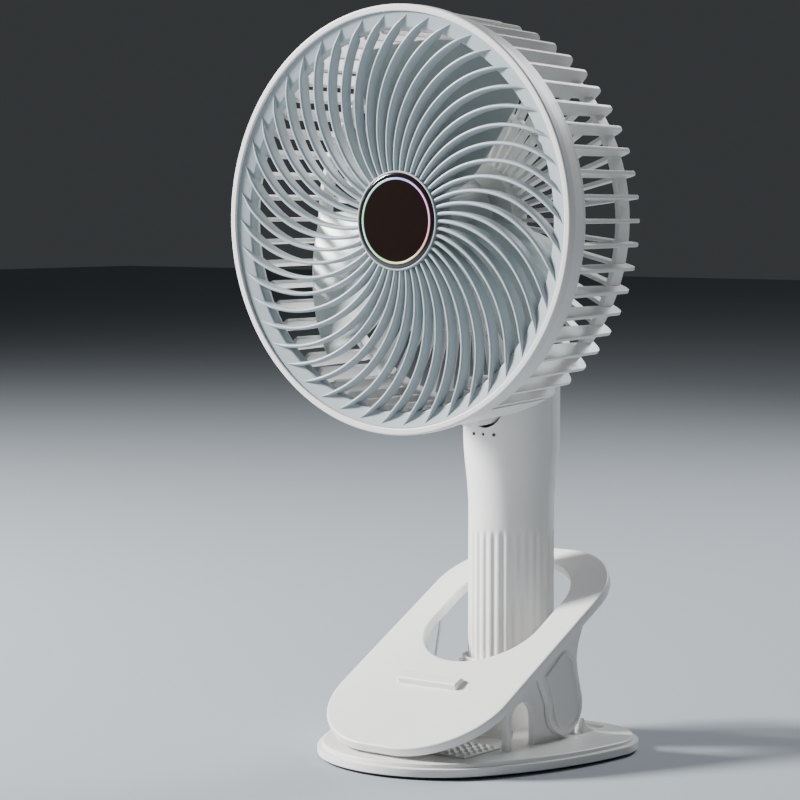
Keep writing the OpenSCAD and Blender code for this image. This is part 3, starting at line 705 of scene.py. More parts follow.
class EffectTree(Shading):
    """One shared effect as a node group that gives colours and values only."""

    def __init__(self, effect: Effect) -> None:
        """Makes the group and wires its effect.

        Args:
            effect: Which effect it is.
        """
        super().__init__(bpy.data.node_groups.new(effect.value, "ShaderNodeTree"))
        face = self.tree.interface
        for label in ("Scale", "Amount"):
            face.new_socket(label, in_out="INPUT", socket_type="NodeSocketFloat")
        for label in ("Tone", "Rough", "Height"):
            face.new_socket(label, in_out="OUTPUT", socket_type="NodeSocketFloat")
        # Hue carries a painted iridescent sheen; only the pearl effect sets it.
        face.new_socket("Hue", in_out="OUTPUT", socket_type="NodeSocketColor")
        given = self.add("NodeGroupInput").outputs
        self.scale, self.amount = given["Scale"], given["Amount"]
        makers = {
            Effect.MOULDED: self._moulded,
            Effect.BRUSHED: self._brushed,
            Effect.PEARL: self._painted_pearl_sheen,
            Effect.WOUND: self._wound,
            Effect.TRACES: self._traces,
            Effect.PEBBLED: self._pebbled,
        }
        self.add("NodeGroupOutput", makers[effect]())

    def _moulded(self) -> dict[str, Socket]:
        """Spark-eroded grain, flow mottle and handling marks of moulded plastic.

        Returns:
            The group's outputs by name.
        """
        fine = self.noise(self.scale, 2.0)
        flow = self.noise(self.times(self.scale, 0.012), 4.0, fac=0.6)
        marks = self.noise(self.times(self.scale, 0.05), 5.0, fac=0.7)
        marks = self.maths("MAXIMUM", self.maths("SUBTRACT", marks, 0.56), 0.0)
        marks = self.maths("SMOOTH_MIN", marks, 0.2, 0.1)
        rough = self.maths("ADD", self.times(marks, 1.6), self.times(fine, 0.12))
        return {"Tone": self.swing(flow, 0.5, self.amount), "Rough": rough, "Height": fine}

    def _brushed(self) -> dict[str, Socket]:
        """Fine lines left by turning or grinding, and stains.

        Returns:
            The group's outputs by name.
        """
        long = self.add("ShaderNodeMapping", {0: self.where(), 3: (0.06, 1.0, 1.0)}).outputs[0]
        lines = self.noise(self.scale, 4.0, long, 0.7)
        tone = self.swing(self.noise(self.times(self.scale, 0.04)), 0.5, self.amount)
        return {"Tone": tone, "Rough": self.times(lines, 0.35), "Height": lines}

    def _painted_pearl_sheen(self) -> dict[str, Socket]:
        """Painted sheen: a hue that turns with the angle round the ring, whose height is the
        amount.

        Returns:
            The group's outputs by name.
        """
        xyz = self.add("ShaderNodeSeparateXYZ", {0: self.where()}).outputs
        # The hue is a painted iridescent sheen, set by the angle round the ring and not by the
        # light.
        turn = self.maths("ARCTAN2", self.maths("SUBTRACT", xyz[2], self.amount), xyz[0])
        hue = self.maths("FRACT", self.maths("ADD", self.times(turn, -0.19), 0.93))
        flake = self.noise(self.scale, 2.0)
        painted_sheen_colour = self.add("ShaderNodeCombineColor", {0: hue, 1: 0.55, 2: 1.0}, mode="HSV")
        tone = self.swing(flake, 0.5, 0.1)
        rough = self.times(flake, 0.2)
        return {"Tone": tone, "Rough": rough, "Height": flake, "Hue": painted_sheen_colour.outputs[0]}

    def _wound(self) -> dict[str, Socket]:
        """Turns of wire laid side by side.

        Returns:
            The group's outputs by name.
        """
        wanted = {"Vector": self.where(), "Scale": self.scale, "Distortion": 0.6, "Detail": 1.0}
        facts = {"wave_type": "BANDS", "bands_direction": "DIAGONAL"}
        wave = self.add("ShaderNodeTexWave", wanted, **facts).outputs["Fac"]
        tone = self.swing(wave, 0.6, self.amount)
        return {"Tone": tone, "Rough": self.times(wave, 0.1), "Height": wave}

    def _traces(self) -> dict[str, Socket]:
        """Copper tracks and pads under a solder mask.

        Returns:
            The group's outputs by name.
        """
        wanted = {"Vector": self.where(), "Scale": self.scale, "Randomness": 0.35}
        facts = {"distance": "MANHATTAN", "feature": "F1"}
        cells = self.add("ShaderNodeTexVoronoi", wanted, **facts).outputs["Distance"]
        bands = self.maths("FRACT", self.times(cells, 3.0))
        track = self.maths("GREATER_THAN", bands, 0.62)
        pads = self.maths("LESS_THAN", cells, 0.12)
        return {
            "Tone": self.times(track, self.amount),
            "Rough": self.times(pads, -0.1),
            "Height": self.maths("MAXIMUM", track, pads),
        }

    def _pebbled(self) -> dict[str, Socket]:
        """Pebble grain and dust of rubber.

        Returns:
            The group's outputs by name.
        """
        wanted = {"Vector": self.where(), "Scale": self.scale}
        pebble = self.add("ShaderNodeTexVoronoi", wanted).outputs["Distance"]
        dust = self.noise(self.times(self.scale, 0.03), 5.0, fac=0.7)
        tone = self.swing(dust, 0.4, self.amount)
        return {"Tone": tone, "Rough": self.times(dust, 0.2), "Height": pebble}


# ---- finishes ---------------------------------------------------------------


@dataclass(frozen=True)
class Finish:
    """One material of the fan.

    Attributes:
        colour: Base colour.
        roughness: Roughness before the effect is added.
        effect: The shared effect that gives its detail.
        scale: Scale of the effect's fine detail, per metre.
        amount: How far the effect moves the colour.
        bump: Depth of the grain in millimetres.
        metallic: Metallic value.
        coat: Weight of the clear coat.
        painted_sheen_share: Share of the effect's hue, a painted iridescent sheen, in the colour.
        wear: How far the effect's marks raise the roughness.
    """

    colour: Colour
    roughness: float
    effect: Effect
    scale: float = 2600.0
    amount: float = 0.05
    bump: float = 0.012
    metallic: float = 0.0
    coat: float = 0.0
    painted_sheen_share: float = 0.0
    wear: float = 0.5

    def build(self, name: str, groups: dict[Effect, bpy.types.NodeTree]) -> bpy.types.Material:
        """Makes the material.

        Args:
            name: The material's name.
            groups: The shared effects.

        Returns:
            The material.
        """
        made = bpy.data.materials.new(name)
        made.use_nodes = True
        made.diffuse_color = (*self.colour, 1)
        kit = Shading(made.node_tree)
        wanted = {"Scale": self.scale, "Amount": self.amount}
        out = kit.add("ShaderNodeGroup", wanted, node_tree=groups[self.effect]).outputs
        wanted = {0: self.colour, "Scale": kit.maths("ADD", out["Tone"], 1.0)}
        base = kit.add("ShaderNodeVectorMath", wanted, operation="SCALE").outputs[0]
        # Mixes in the effect's hue: on the pearl ring, a painted iridescent sheen.
        if self.painted_sheen_share:
            wanted = {0: self.painted_sheen_share, 6: base, 7: out["Hue"]}
            base = kit.add("ShaderNodeMix", wanted, data_type="RGBA").outputs[2]
        grain = {"Strength": 0.6, "Distance": self.bump * MM, "Height": out["Height"]}
        surface = {
            "Base Color": base,
            "Roughness": kit.maths("MULTIPLY_ADD", out["Rough"], self.wear, self.roughness),
            "Normal": kit.add("ShaderNodeBump", grain).outputs[0],
            "Metallic": self.metallic,
            "Coat Weight": self.coat,
            "Coat Roughness": 0.06,
        }
        for label, value in surface.items():
            kit.feed(made.node_tree.nodes["Principled BSDF"].inputs[label], value)
        return made


FINISHES: dict[str, Finish] = {
    "white_plastic": Finish((0.84, 0.83, 0.815), 0.34, Effect.MOULDED, amount=0.03),
    "cover_plastic": Finish((0.74, 0.735, 0.725), 0.38, Effect.MOULDED, amount=0.03),
    "grille_plastic": Finish((0.36, 0.415, 0.44), 0.34, Effect.MOULDED, amount=0.05),
    "blade_plastic": Finish((0.44, 0.50, 0.49), 0.30, Effect.MOULDED, amount=0.06),
    "badge_gloss": Finish(
        (0.010, 0.005, 0.004), 0.14, Effect.MOULDED, amount=0.1, bump=0.001, coat=0.5, wear=0.06
    ),
    # The pearl ring's colour is all painted iridescent sheen that turns round the ring.
    "ring_pearl": Finish(
        (0.80, 0.72, 0.86), 0.22, Effect.PEARL, amount=0.234, bump=0.003, coat=0.6, painted_sheen_share=1.0
    ),
    "bright_steel": Finish((0.66, 0.67, 0.69), 0.22, Effect.BRUSHED, 1800, 0.1, 0.004, 1.0),
    "bearing_steel": Finish((0.76, 0.77, 0.79), 0.10, Effect.BRUSHED, 2400, 0.05, 0.002, 1.0),
    "rotor_steel": Finish((0.46, 0.47, 0.49), 0.34, Effect.BRUSHED, 1500, 0.15, 0.006, 1.0),
    "copper_wire": Finish((0.72, 0.30, 0.12), 0.22, Effect.WOUND, 1300, 0.5, 0.08, 0.9),
    "magnet": Finish((0.10, 0.10, 0.11), 0.55, Effect.MOULDED, 1800, 0.2, 0.02, 0.4),
    "board": Finish((0.012, 0.16, 0.07), 0.30, Effect.TRACES, 420, 0.9, 0.02, coat=0.4),
    "dark_plastic": Finish((0.022, 0.022, 0.025), 0.42, Effect.MOULDED, amount=0.2),
    "cell_sleeve": Finish((0.03, 0.20, 0.42), 0.24, Effect.MOULDED, 900, 0.1, 0.01, coat=0.5),
    "black_rubber": Finish((0.012, 0.012, 0.014), 0.66, Effect.PEBBLED, 1500, 0.5, 0.04),
    "grey_rubber": Finish((0.045, 0.05, 0.055), 0.62, Effect.PEBBLED, 1500, 0.4, 0.04),
}


class Wardrobe:
    """The fan's materials, by the record's slot names."""

    def __init__(self) -> None:
        """Builds each effect once, then every material."""
        groups = {effect: EffectTree(effect).tree for effect in Effect}
        self.made = {slot: finish.build(slot, groups) for slot, finish in FINISHES.items()}

    def __getitem__(self, slot: str) -> bpy.types.Material:
        """The material of a slot."""
        return self.made[slot]

    def dress_nodes(self, frame: dict) -> None:
        """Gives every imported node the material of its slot.

        Args:
            frame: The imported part, as it was loaded.
        """
        for row in frame["record"]["subparts"]:
            node = frame["nodes"][row["node"]]
            node.data.materials.clear()
            node.data.materials.append(self.made[row["material_slot"]])


# ---- the shop that turns solids into pieces ---------------------------------


@dataclass
class Shop:
    """What every sub-assembly is built with.

    Attributes:
        wardrobe: The materials.
        radial: The group that sets copies round an axis.
        grid: The group that sets copies on a grid.
    """

    wardrobe: Wardrobe
    radial: RadialRepeat = field(default_factory=RadialRepeat)
    grid: GridRepeat = field(default_factory=GridRepeat)

    def around(
        self, unit: Solid, slot: str, count: int, step: float, start: float = 0.0
    ) -> bpy.types.Mesh:
        """Repeats a unit round its Z axis.

        Args:
            unit: The part to repeat.
            slot: The record's material slot.
            count: Number of copies.
            step: Angle from one copy to the next, in degrees.
            start: Angle of the first copy, in degrees.

        Returns:
            The mesh of all the copies.
        """
        return self.radial.made(unit, self.wardrobe[slot], Count=count, Start=start, Step=step)

    def piece(
        self,
        solid: Solid,
        name: str,
        body: str,
        slot: str,
        *nodes: str,
        crease: float = 38.0,
    ) -> bpy.types.Object:
        """Finishes a solid as a piece of the fan.

        Args:
            solid: The geometry in millimetres.
            name: The piece's name.
            body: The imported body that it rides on.
            slot: The record's material slot.
            nodes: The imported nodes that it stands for.
            crease: Angle in degrees above which an edge is drawn sharp.

        Returns:
            The object.
        """
        mesh = solid.to_mesh(name, MM)
        mesh.polygons.foreach_set("use_smooth", [True] * len(mesh.polygons))
        mesh.set_sharp_from_angle(angle=math.radians(crease))
        obj = Workshop.scratch(mesh)
        even = obj.modifiers.new("even", "WEIGHTED_NORMAL")
        even.keep_sharp = True
        even.weight = 60
        made = Workshop.evaluated(obj)
        obj.modifiers.clear()
        obj.data = made
        made.materials.clear()
        made.materials.append(self.wardrobe[slot])
        obj.name = made.name = name
        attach(obj, body)
        if nodes:
            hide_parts(*nodes)
        LOG.info("%s: %d faces on %s", name, len(made.polygons), body)
        return obj


# ---- head -------------------------------------------------------------------


@dataclass
class Head:
    """Rim, grille, badge, cage and motor cover.

    Attributes:
        shop: What it is built with.
        radius: Radius over the rim.
        reach: Distance from the rim's face to the handle's axis.
        axis_z: Height of the fan's axis.
        depth: Depth from the rim's face to the fins' ends.
        rim_w: Width of the rim.
        rim_depth: Depth of the rim.
        flange_r: Outer radius of the grille's flange.
        flange_in: Inner radius of the flange.
        vanes: Number of vanes.
        vane_tip: Radius at which a vane runs out.
        vane_t: Thickness of a vane.
        vane_sweep: Angle from a vane's root to its end, in degrees.
        vane_front: Depth of a vane's front at the hub.
        vane_rise: How far a vane comes forward on its way out.
        vane_depth: Depth of a vane.
        hub_r: Radius of the grille's hub.
        badge_r: Radius of the badge.
        fins: Number of fins.
        fin_t: Thickness of a fin.
        spoke: Depth of the spoke that a fin runs into.
        mount_r: Radius of the motor's mount.
        screw_in: How far a cover screw lies inside that radius.
        tongue_r: Radius of the hinge's tongue.
        tilt_ahead: How far the tilt axis lies ahead of the handle's.
        pin_r: Radius of the hole for the tilt pin.
    """

    shop: Shop
    radius: float = 91.0
    reach: float = 87.5
    axis_z: float = 234.0
    depth: float = 60.0
    rim_w: float = 3.0
    rim_depth: float = 11.5
    flange_r: float = 87.95
    flange_in: float = 81.0
    vanes: int = 46
    vane_tip: float = 86.45
    vane_t: float = 1.7
    vane_sweep: float = 27.0
    vane_front: float = 3.6
    vane_rise: float = 3.3
    vane_depth: float = 5.6
    hub_r: float = 21.2
    badge_r: float = 20.3
    fins: int = 54
    fin_t: float = 1.7
    spoke: float = 6.0
    mount_r: float = 27.0
    screw_in: float = 6.0
    tongue_r: float = 8.0
    tilt_ahead: float = 6.0
    pin_r: float = 2.06

    def __post_init__(self) -> None:
        """Sets the fan's frame: its Z axis runs back from the rim's face."""
        self.frame = Matrix.Translation((0, -self.reach, self.axis_z)) @ BACKWARDS

    def build(self) -> None:
        """Makes every piece of the head."""
        self.rim()
        self.grille()
        self.badge()
        self.cage()
        self.tongue()
        self.cover()

    def screws(self, depth: float) -> list[Matrix]:
        """Places of the cover's screws.

        Args:
            depth: Depth behind the rim's face.

        Returns:
            A frame for each screw.
        """
        place = Matrix.Translation((self.mount_r - self.screw_in, 0, depth))
        turns = [math.radians(30 + 120 * k) for k in range(3)]
        return [self.frame @ Matrix.Rotation(turn, 4, "Z") @ place for turn in turns]

    def rim(self) -> None:
        """White band round the front."""
        r, low, d = self.radius, self.radius - self.rim_w, self.rim_depth
        corners = [(low, 0), (r, 0), (r, 4), (r - 1.2, d), (low, d)]
        body = Solid().lathe(corners, [0.5, 0.9, 3, 0.3, 0.2], self.frame, 256, steps=5)
        self.shop.piece(body, "rim", "head", "white_plastic", "front_rim")

    def _vane(self) -> Solid:
        """One vane: it leaves the hub radially, sweeps, and ends in a point on the flange.

        Returns:
            The vane.
        """
        start, inner = self.hub_r - 0.4, self.flange_in
        sweep = math.radians(self.vane_sweep)
        dx, dy = (inner - 1) * math.cos(sweep) - start, (inner - 1) * math.sin(sweep)
        bend = dx / math.sin(2 * math.atan2(dy, dx))
        steps, last = 30, math.radians(82.0)
        sections = []
        for k in range(steps + 1):
            w = last * k / steps
            middle = Vector((start + bend * math.sin(w), bend * (1 - math.cos(w)), 0))
            side = Vector((math.sin(w), -math.cos(w), 0))
            r = middle.length
            end = clamp((r - inner) / (self.vane_tip - inner))
            t = self.vane_t / 2 * (1 - 0.85 * end**1.5)
            rise = self.vane_rise * min(1.0, (r - start) / (inner - start))
            front = self.vane_front - rise + end
            back = self.vane_front + self.vane_depth - rise if r < inner + 0.4 else 4.0
            waist = back - 2.0 if back > 5 else 3.2
            half = [(0.80, back), (0.96, waist), (1.0, front + 1.1)]
            half += [(0.86, front + 0.45), (0.45, front + 0.08)]
            outline = [*((-a, d) for a, d in half), (0.0, front), *reversed(half)]
            sections.append([middle + side * (a * t) + Vector((0, 0, d)) for a, d in outline])
        return Solid().loft(sections)

    def grille(self) -> None:
        """Pale grille: flange, hub cup and swept vanes."""
        f, inner, h = self.flange_r, self.flange_in, self.hub_r
        flange = [(f, 1.1), (f, 5.6), (inner + 1.5, 7.4), (inner, 7.4), (inner, 2.6)]
        body = Solid().lathe(flange, [0.25, 0.3, 0.4, 0.4, 1.1], self.frame, 256)
        lip, wall = h - 0.85, h - 1.6
        cup = [(0, 4.6), (lip, 4.6), (lip, 3.0), (h, 3.0), (h, 11.0), (wall, 11.0)]
        cup += [(wall, 6.4), (0, 6.4)]
        body.lathe(cup, [0, 0.1, 0.25, 0.45, 0.3, 0.3, 0.6, 0], self.frame, 128)
        vanes = self.shop.around(self._vane(), "grille_plastic", self.vanes, 360 / self.vanes)
        body.absorb(vanes, self.frame)
        self.shop.piece(body, "grille", "head", "grille_plastic", "front_grille", crease=50)

    def badge(self) -> None:
        """Gloss disc with its pearl ring."""
        r = self.badge_r
        face = [(0, 2.62), (8, 2.65), (14, 2.72), (17.3, 2.8), (17.42, 3.1), (18.38, 3.1)]
        face += [(18.5, 2.82), (19.7, 2.9), (r - 0.2, 3.02), (r, 3.3), (r, 4.5), (0, 4.5)]
        disc = Solid().revolve(face, self.frame, 128)
        self.shop.piece(disc, "badge_disc", "head", "badge_gloss", "hub_badge")
        band = [(17.45, 2.58), (18.35, 2.58), (18.35, 3.09), (17.45, 3.09)]
        ring = Solid().lathe(band, [0.2, 0.2, 0, 0], self.frame, 128)
        self.shop.piece(ring, "badge_pearl", "head", "ring_pearl", "badge_ring")

    def _fin(self) -> Solid:
        """One fin and the spoke it runs into, in the plane through the axis.

        Returns:
            The fin.
        """
        r, d, m = self.radius, self.depth, self.mount_r - 1
        edge, back = r - 10.3, d - self.spoke
        corners = [(edge, 11.6), (r - 1.45, 11.6), (r - 3.9, d), (m, d), (m, back), (edge, back)]
        outline = fillet(corners, [0.8, 0, 4.2, 0, 0, 3.4], 6)
        return Solid().prism([outline], -self.fin_t / 2, self.fin_t / 2, 0.36, FACING, 2)

    def cage(self) -> None:
        """White cage: fins, bands, motor mount and saddle."""
        r, d, m, back = self.radius, self.depth, self.mount_r, self.depth - self.spoke
        step = 360 / self.fins
        fins = self.shop.around(self._fin(), "white_plastic", self.fins, step, 90 + step / 2)
        body = Solid().absorb(fins, self.frame)
        # Spigot in the rim, front band, two rear bands, mount and bearing tube.
        rings = (
            ([(r - 5.8, 6.8), (r - 3.1, 6.8), (r - 3.1, 12.5), (r - 5.8, 12.5)], 0.3),
            ([(r - 5.8, 11.6), (r - 1.42, 11.6), (r - 1.5, 13.6), (r - 5.8, 13.6)], 0.45),
            ([(79.5, d - 10), (82.0, d - 10), (82.0, d - 2), (79.5, d - 2)], 0.6),
            ([(49.0, back), (50.9, back), (50.9, d - 2), (49.0, d - 2)], 0.5),
            ([(3.0, d - 10), (m, d - 10), (m, d), (m - 2, d), (m - 2, back), (3.0, back)], 0.4),
            ([(4.5, 21.5), (6.4, 21.5), (6.4, d - 9), (4.5, d - 9)], 0.2),
        )
        for corners, edge in rings:
            body.lathe(corners, edge, self.frame, 216, steps=3)
        for at in self.screws(0.0):
            post = [(1.2, d - 7), (3.2, d - 7), (3.2, d), (1.2, d)]
            body.lathe(post, [0, 0, 0.3, 0.3], at, 32)
        saddle = [(r - 4.2, 11.6), (r - 1.42, 11.6), (r - 3.8, d - 4), (r - 6, d), (r - 9, d)]
        saddle += [(r - 6.8, back)]
        body.lathe(saddle, [0, 0.5, 3, 2, 1, 2], self.frame, 60, 62, 56)
        self.shop.piece(body, "cage", "head", "white_plastic", crease=42)

    def tongue(self) -> None:
        """Neck block and the half-round tongue that hangs in the handle's notch."""
        r, d, t = self.radius, self.depth, self.tongue_r
        tilt_d = self.reach - self.tilt_ahead
        low, high = r - 2 * t, r - 6.4
        block = fillet([(-16, low), (16, low), (16, high), (-16, high)], 3)
        body = Solid().prism([block], d - 8, d + 0.01, 0.8, self.frame)
        outline = [(-t, low), (t, low), *arc((0, r - t), t, 0, 180, 28)]
        body.prism([outline], d - 6, tilt_d, 0.5, self.frame)
        axis = Matrix.Translation((0, r - t, tilt_d)) @ Matrix.Rotation(math.pi / 2, 4, "Y")
        drum = [(self.pin_r, -t), (t, -t), (t, t), (self.pin_r, t)]
        body.lathe(drum, [0.2, 0.5, 0.5, 0.2], self.frame @ axis, 72)
        self.shop.piece(body, "hinge_tongue", "head", "white_plastic", "rear_cage", crease=45)

    def cover(self) -> None:
        """Dished cover over the back of the motor, with sunk screws."""
        d, m = self.depth, self.mount_r
        corners = [(0, d + 0.05), (m - 0.5, d + 0.05), (m - 0.5, d + 1.65), (m - 1.5, d + 1.7)]
        corners += [(m - 8, d + 5.6), (m - 12, d + 5.6), (m - 14, d + 4.6), (0, d + 4.6)]
        body = Solid().lathe(corners, [0, 0.2, 0.5, 0.4, 2.5, 1.0, 1.0, 0], self.frame)
        holes = []
        for at in self.screws(d):
            holes.append(Solid().rod(1.7, -1, 10, 0.01, at, 32))
            holes.append(Solid().rod(3.1, 2.2, 12, 0.01, at, 40))
        self.shop.piece(body.cut(*holes), "motor_cap", "head", "white_plastic", "motor_cover")


# ---- impeller ----------------------------------------------------------------


@dataclass
class Impeller:
    """Three broad, twisted blades on a drum.

    Attributes:
        shop: What it is built with.
        frame: The fan's frame.
        blades: Number of blades.
        tip_r: Radius over the blades' tips.
        drum_r: Radius of the drum.
        front: Depth of the drum's front.
        back: Depth of the drum's back.
        middle: Depth of the blades' middle.
        thickness: Thickness of a blade.
    """

    shop: Shop
    frame: Matrix
    blades: int = 3
    tip_r: float = 77.4
    drum_r: float = 21.0
    front: float = 13.5
    back: float = 44.0
    middle: float = 31.0
    thickness: float = 1.9

    def _point(self, r: float, s: float, side: float) -> Vector:
        """A point of a blade's face.

        Args:
            r: Radius.
            s: Place along the chord, from -1 to 1.
            side: -1 for the front face, 1 for the back.

        Returns:
            The point, in the fan's frame.
        """
        u = (r - self.drum_r) / (self.tip_r - self.drum_r)
        lead = 14 + 26 * (1 - (1 - clamp(u)) ** 1.9)
        trail = 13 + 27 * max(0.0, u) ** 0.85
        chord = s * (lead if s < 0 else trail)
        pitch = math.radians(31 - 8.5 * u)
        w = chord * math.cos(pitch) / max(r, self.drum_r)
        camber = 1.6 * (1 - s * s) * (1 - 0.35 * u)
        edge = max(0.0, 1 - abs(s) ** 14) ** 0.5 * max(0.0, 1 - max(0.0, u) ** 40) ** 0.5
        half = self.thickness / 2 * edge * (1.25 - 0.35 * u)
        depth = self.middle + chord * math.sin(pitch) + camber + side * half
        return Vector((r * math.cos(w), r * math.sin(w), depth))

    def _blade(self) -> Solid:
        """One closed blade.

        Returns:
            The blade.
        """
        root, tip = self.drum_r - 1.5, self.tip_r
        radii = [root + (tip - root) * k / 26 for k in range(24)]
        radii += [tip - 2.2, tip - 1.0, tip - 0.35, tip - 0.1, tip]
        ends = [1, 0.995, 0.98, 0.95]
        chord = [*(-s for s in ends), *(-0.9 + 1.8 * k / 20 for k in range(21)), *reversed(ends)]
        unit = Solid()
        for side in (-1, 1):
            unit.sheet([[self._point(r, s, side) for s in chord] for r in radii])
        return unit

    def build(self) -> None:
        """Makes the impeller as one piece."""
        step = 360 / self.blades
        blades = self.shop.around(self._blade(), "blade_plastic", self.blades, step, -85.0)
        body = Solid().absorb(blades, self.frame)
        bore, r, wall = 1.55, self.drum_r, self.drum_r - 2
        drum = [(bore, self.front), (r, self.front), (r, self.back), (wall, self.back)]
        drum += [(wall, self.front + 2), (bore, self.front + 2)]
        body.lathe(drum, [0.2, 2.2, 0.5, 0.5, 0.8, 0.2], self.frame, 128, steps=6)
        self.shop.piece(body, "fan_blades", "impeller", "blade_plastic", "impeller", crease=50)


# ---- handle --------------------------------------------------------------------


@dataclass
class Handle:
    """Fluted grip in two shells, with its button.

    Attributes:
        shop: What it is built with.
        grip_r: Radius of the grip.
        top_r: Radius at the top.
        wall: Thickness of the shells.
        flutes: Number of flutes round the grip.
        flute_depth: Depth of a flute.
        flute_ball: Radius of the ball that hollows it.
        foot_z: Height of the shells' lower end.
        flute_top: Height at which the flutes run out.
        flare_z: Height at which the grip starts to widen.
        yoke_z: Height of the yoke's underside.
        top_z: Height of the top.
        tilt_z: Height of the tilt axis.
        tilt_ahead: How far that axis lies ahead of the handle's.
        notch_r: Radius of the notch for the tongue.
        button_z: Height of the button.
        button_r: Radius of its cap.
        port_z: Height of the charging port.
        light_z: Height of the indicator lights.
        light_gap: Distance between two lights.
        screw_z: Heights of the shells' screws.
        seam: Gap between the shells.
    """

    shop: Shop
    grip_r: float = 19.4
    top_r: float = 21.8
    wall: float = 2.0
    flutes: int = 30
    flute_depth: float = 0.55
    flute_ball: float = 1.9
    foot_z: float = 9.1
    flute_top: float = 97.0
    flare_z: float = 104.0
    yoke_z: float = 134.0
    top_z: float = 163.0
    tilt_z: float = 151.0
    tilt_ahead: float = 6.0
    notch_r: float = 9.33
    button_z: float = 113.0
    button_r: float = 6.0
    port_z: float = 50.0
    light_z: float = 138.8
    light_gap: float = 5.4
    screw_z: tuple[float, float] = (17.1, 126.9)
    seam: float = 0.05

    def __post_init__(self) -> None:
        """Sets the height at which the grip has its full width."""
        self.full_z = self.yoke_z + 5

    def build(self) -> None:
        """Makes the shells and the button."""
        self.front()
        self.rear()
        self.button()

    def _outer(self, w: float, z: float) -> float:
        """Radius of the skin.

        Args:
            w: Angle from a flute's middle.
            z: Height.

        Returns:
            The radius.
        """
        t = clamp((z - self.flare_z) / (self.full_z - self.flare_z))
        base = self.grip_r + (self.top_r - self.grip_r) * (1 - math.cos(math.pi * t)) / 2
        ball, deep = self.flute_ball, self.flute_depth
        across = abs(w) * self.grip_r
        hollow = math.sqrt(max(0.0, ball * ball - across * across)) - (ball - deep)
        fade = clamp((self.flute_top - z) / 5.5)
        fade = fade * fade * (3 - 2 * fade)
        return base - max(0.0, hollow) * fade

    def _sector(self) -> Solid:
        """The strip of the shell over one flute, open at its two sides.

        Returns:
            The strip.
        """
        heights = [self.foot_z + 0.3, 12, 20, 32, 46, 60, 74, 84, 90]
        heights += [91.5, 92.5, 93.5, 94.5, 95.5, 97]
        heights += [self.flare_z + (self.full_z - self.flare_z) * k / 9 for k in range(10)]
        heights += [150, self.top_z - 2.5]
        lip = arc((self.top_r - 2.5, self.top_z - 2.5), 2.5, 15, 90, 5)
        top, grip, ledge = self.top_r - self.wall, self.grip_r - self.wall, self.yoke_z - 0.05
        inner = [(0.0, self.top_z - 2), (top, self.top_z - 2), (top, ledge), (grip, ledge)]
        inner += [(grip, self.foot_z)]
        rows, columns = [], 10
        for k in range(columns + 1):
            w = 2 * math.pi / self.flutes * (k / columns - 0.5)
            skin = [(self._outer(w, heights[0]) - 0.3, self.foot_z)]
            skin += [(self._outer(w, z), z) for z in heights]
            skin += [*lip, (0.0, self.top_z), *inner, skin[0]]
            rows.append([Vector((r * math.cos(w), r * math.sin(w), z)) for r, z in skin])
        return Solid().sheet(rows)

    def _half(self, start: float, side: int) -> Solid:
        """One half of the shell, closed at the seam.

        Args:
            start: Angle of its first edge, in degrees.
            side: -1 for the front half, 1 for the rear one.

        Returns:
            The half.
        """
        step = 360 / self.flutes
        first = start + step / 2
        half = Solid().absorb(
            self.shop.around(self._sector(), "white_plastic", self.flutes // 2, step, first)
        )
        bmesh.ops.remove_doubles(half.mesh, verts=half.mesh.verts, dist=0.004)
        rim = [e for e in half.mesh.edges if e.is_boundary]
        for v in {v for e in rim for v in e.verts}:
            r = math.hypot(v.co.x, v.co.y)
            if r > self.grip_r - 0.9 and v.co.z < self.top_z - 0.2:
                v.co.x *= (r - 0.2) / r
        bmesh.ops.triangle_fill(half.mesh, edges=rim, use_beauty=True)
        bmesh.ops.translate(half.mesh, vec=(0, side * self.seam / 2, 0), verts=half.mesh.verts)
        return half

    def _drill(self, radius: float, low: float, high: float, z: float, x: float = 0.0) -> Solid:
        """A cutter for a round hole that runs from front to back.

        Args:
            radius: Radius of the hole.
            low: Its front end, along Y.
            high: Its rear end.
            z: Its height.
            x: Its distance from the handle's middle.

        Returns:
            The cutter.
        """
        at = Matrix.Translation((x, 0, z)) @ BACKWARDS
        return Solid().rod(radius, low, high, 0.01, at, 24 if radius < 1 else 32)

    def front(self) -> None:
        """Front shell, with the notch for the tongue and the holes of the lights."""
        body = self._half(180.0, -1)
        r, z, out = self.notch_r, self.tilt_z, self.top_r
        notch = [*arc((0, z), r, 180, 360, 40), (r, z + 30), (-r, z + 30)]
        body.cut(
            *(
                self._drill(0.75, -out - 2, -10, self.light_z, k * self.light_gap)
                for k in (-1, 0, 1)
            ),
            Solid().prism([notch], -out - 6, -self.tilt_ahead, 0.01, FACING),
        )
        node = "handle_front_shell"
        self.shop.piece(body, "grip_front", "handle", "white_plastic", node, crease=34)

    def rear(self) -> None:
        """Rear shell, with the button's hole, the port's slot and the screw holes."""
        body = self._half(0.0, 1)
        slot = fillet([(-4.7, -1.8), (4.7, -1.8), (4.7, 1.8), (-4.7, 1.8)], 1.7, 6)
        port = Matrix.Translation((0, 0, self.port_z)) @ FACING
        button = Matrix.Translation((0, 0, self.button_z)) @ BACKWARDS
        body.cut(
            Solid().rod(self.button_r + 0.35, 5, 30, 0.01, button, 64),
            Solid().prism([slot], 13.4, 30, 0.01, port),
            *(
                self._drill(r, low, 30, z)
                for z in self.screw_z
                for r, low in ((1.5, -1), (2.4, 15.2))
            ),
        )
        node = "handle_rear_shell"
        self.shop.piece(body, "grip_rear", "handle", "white_plastic", node, crease=34)

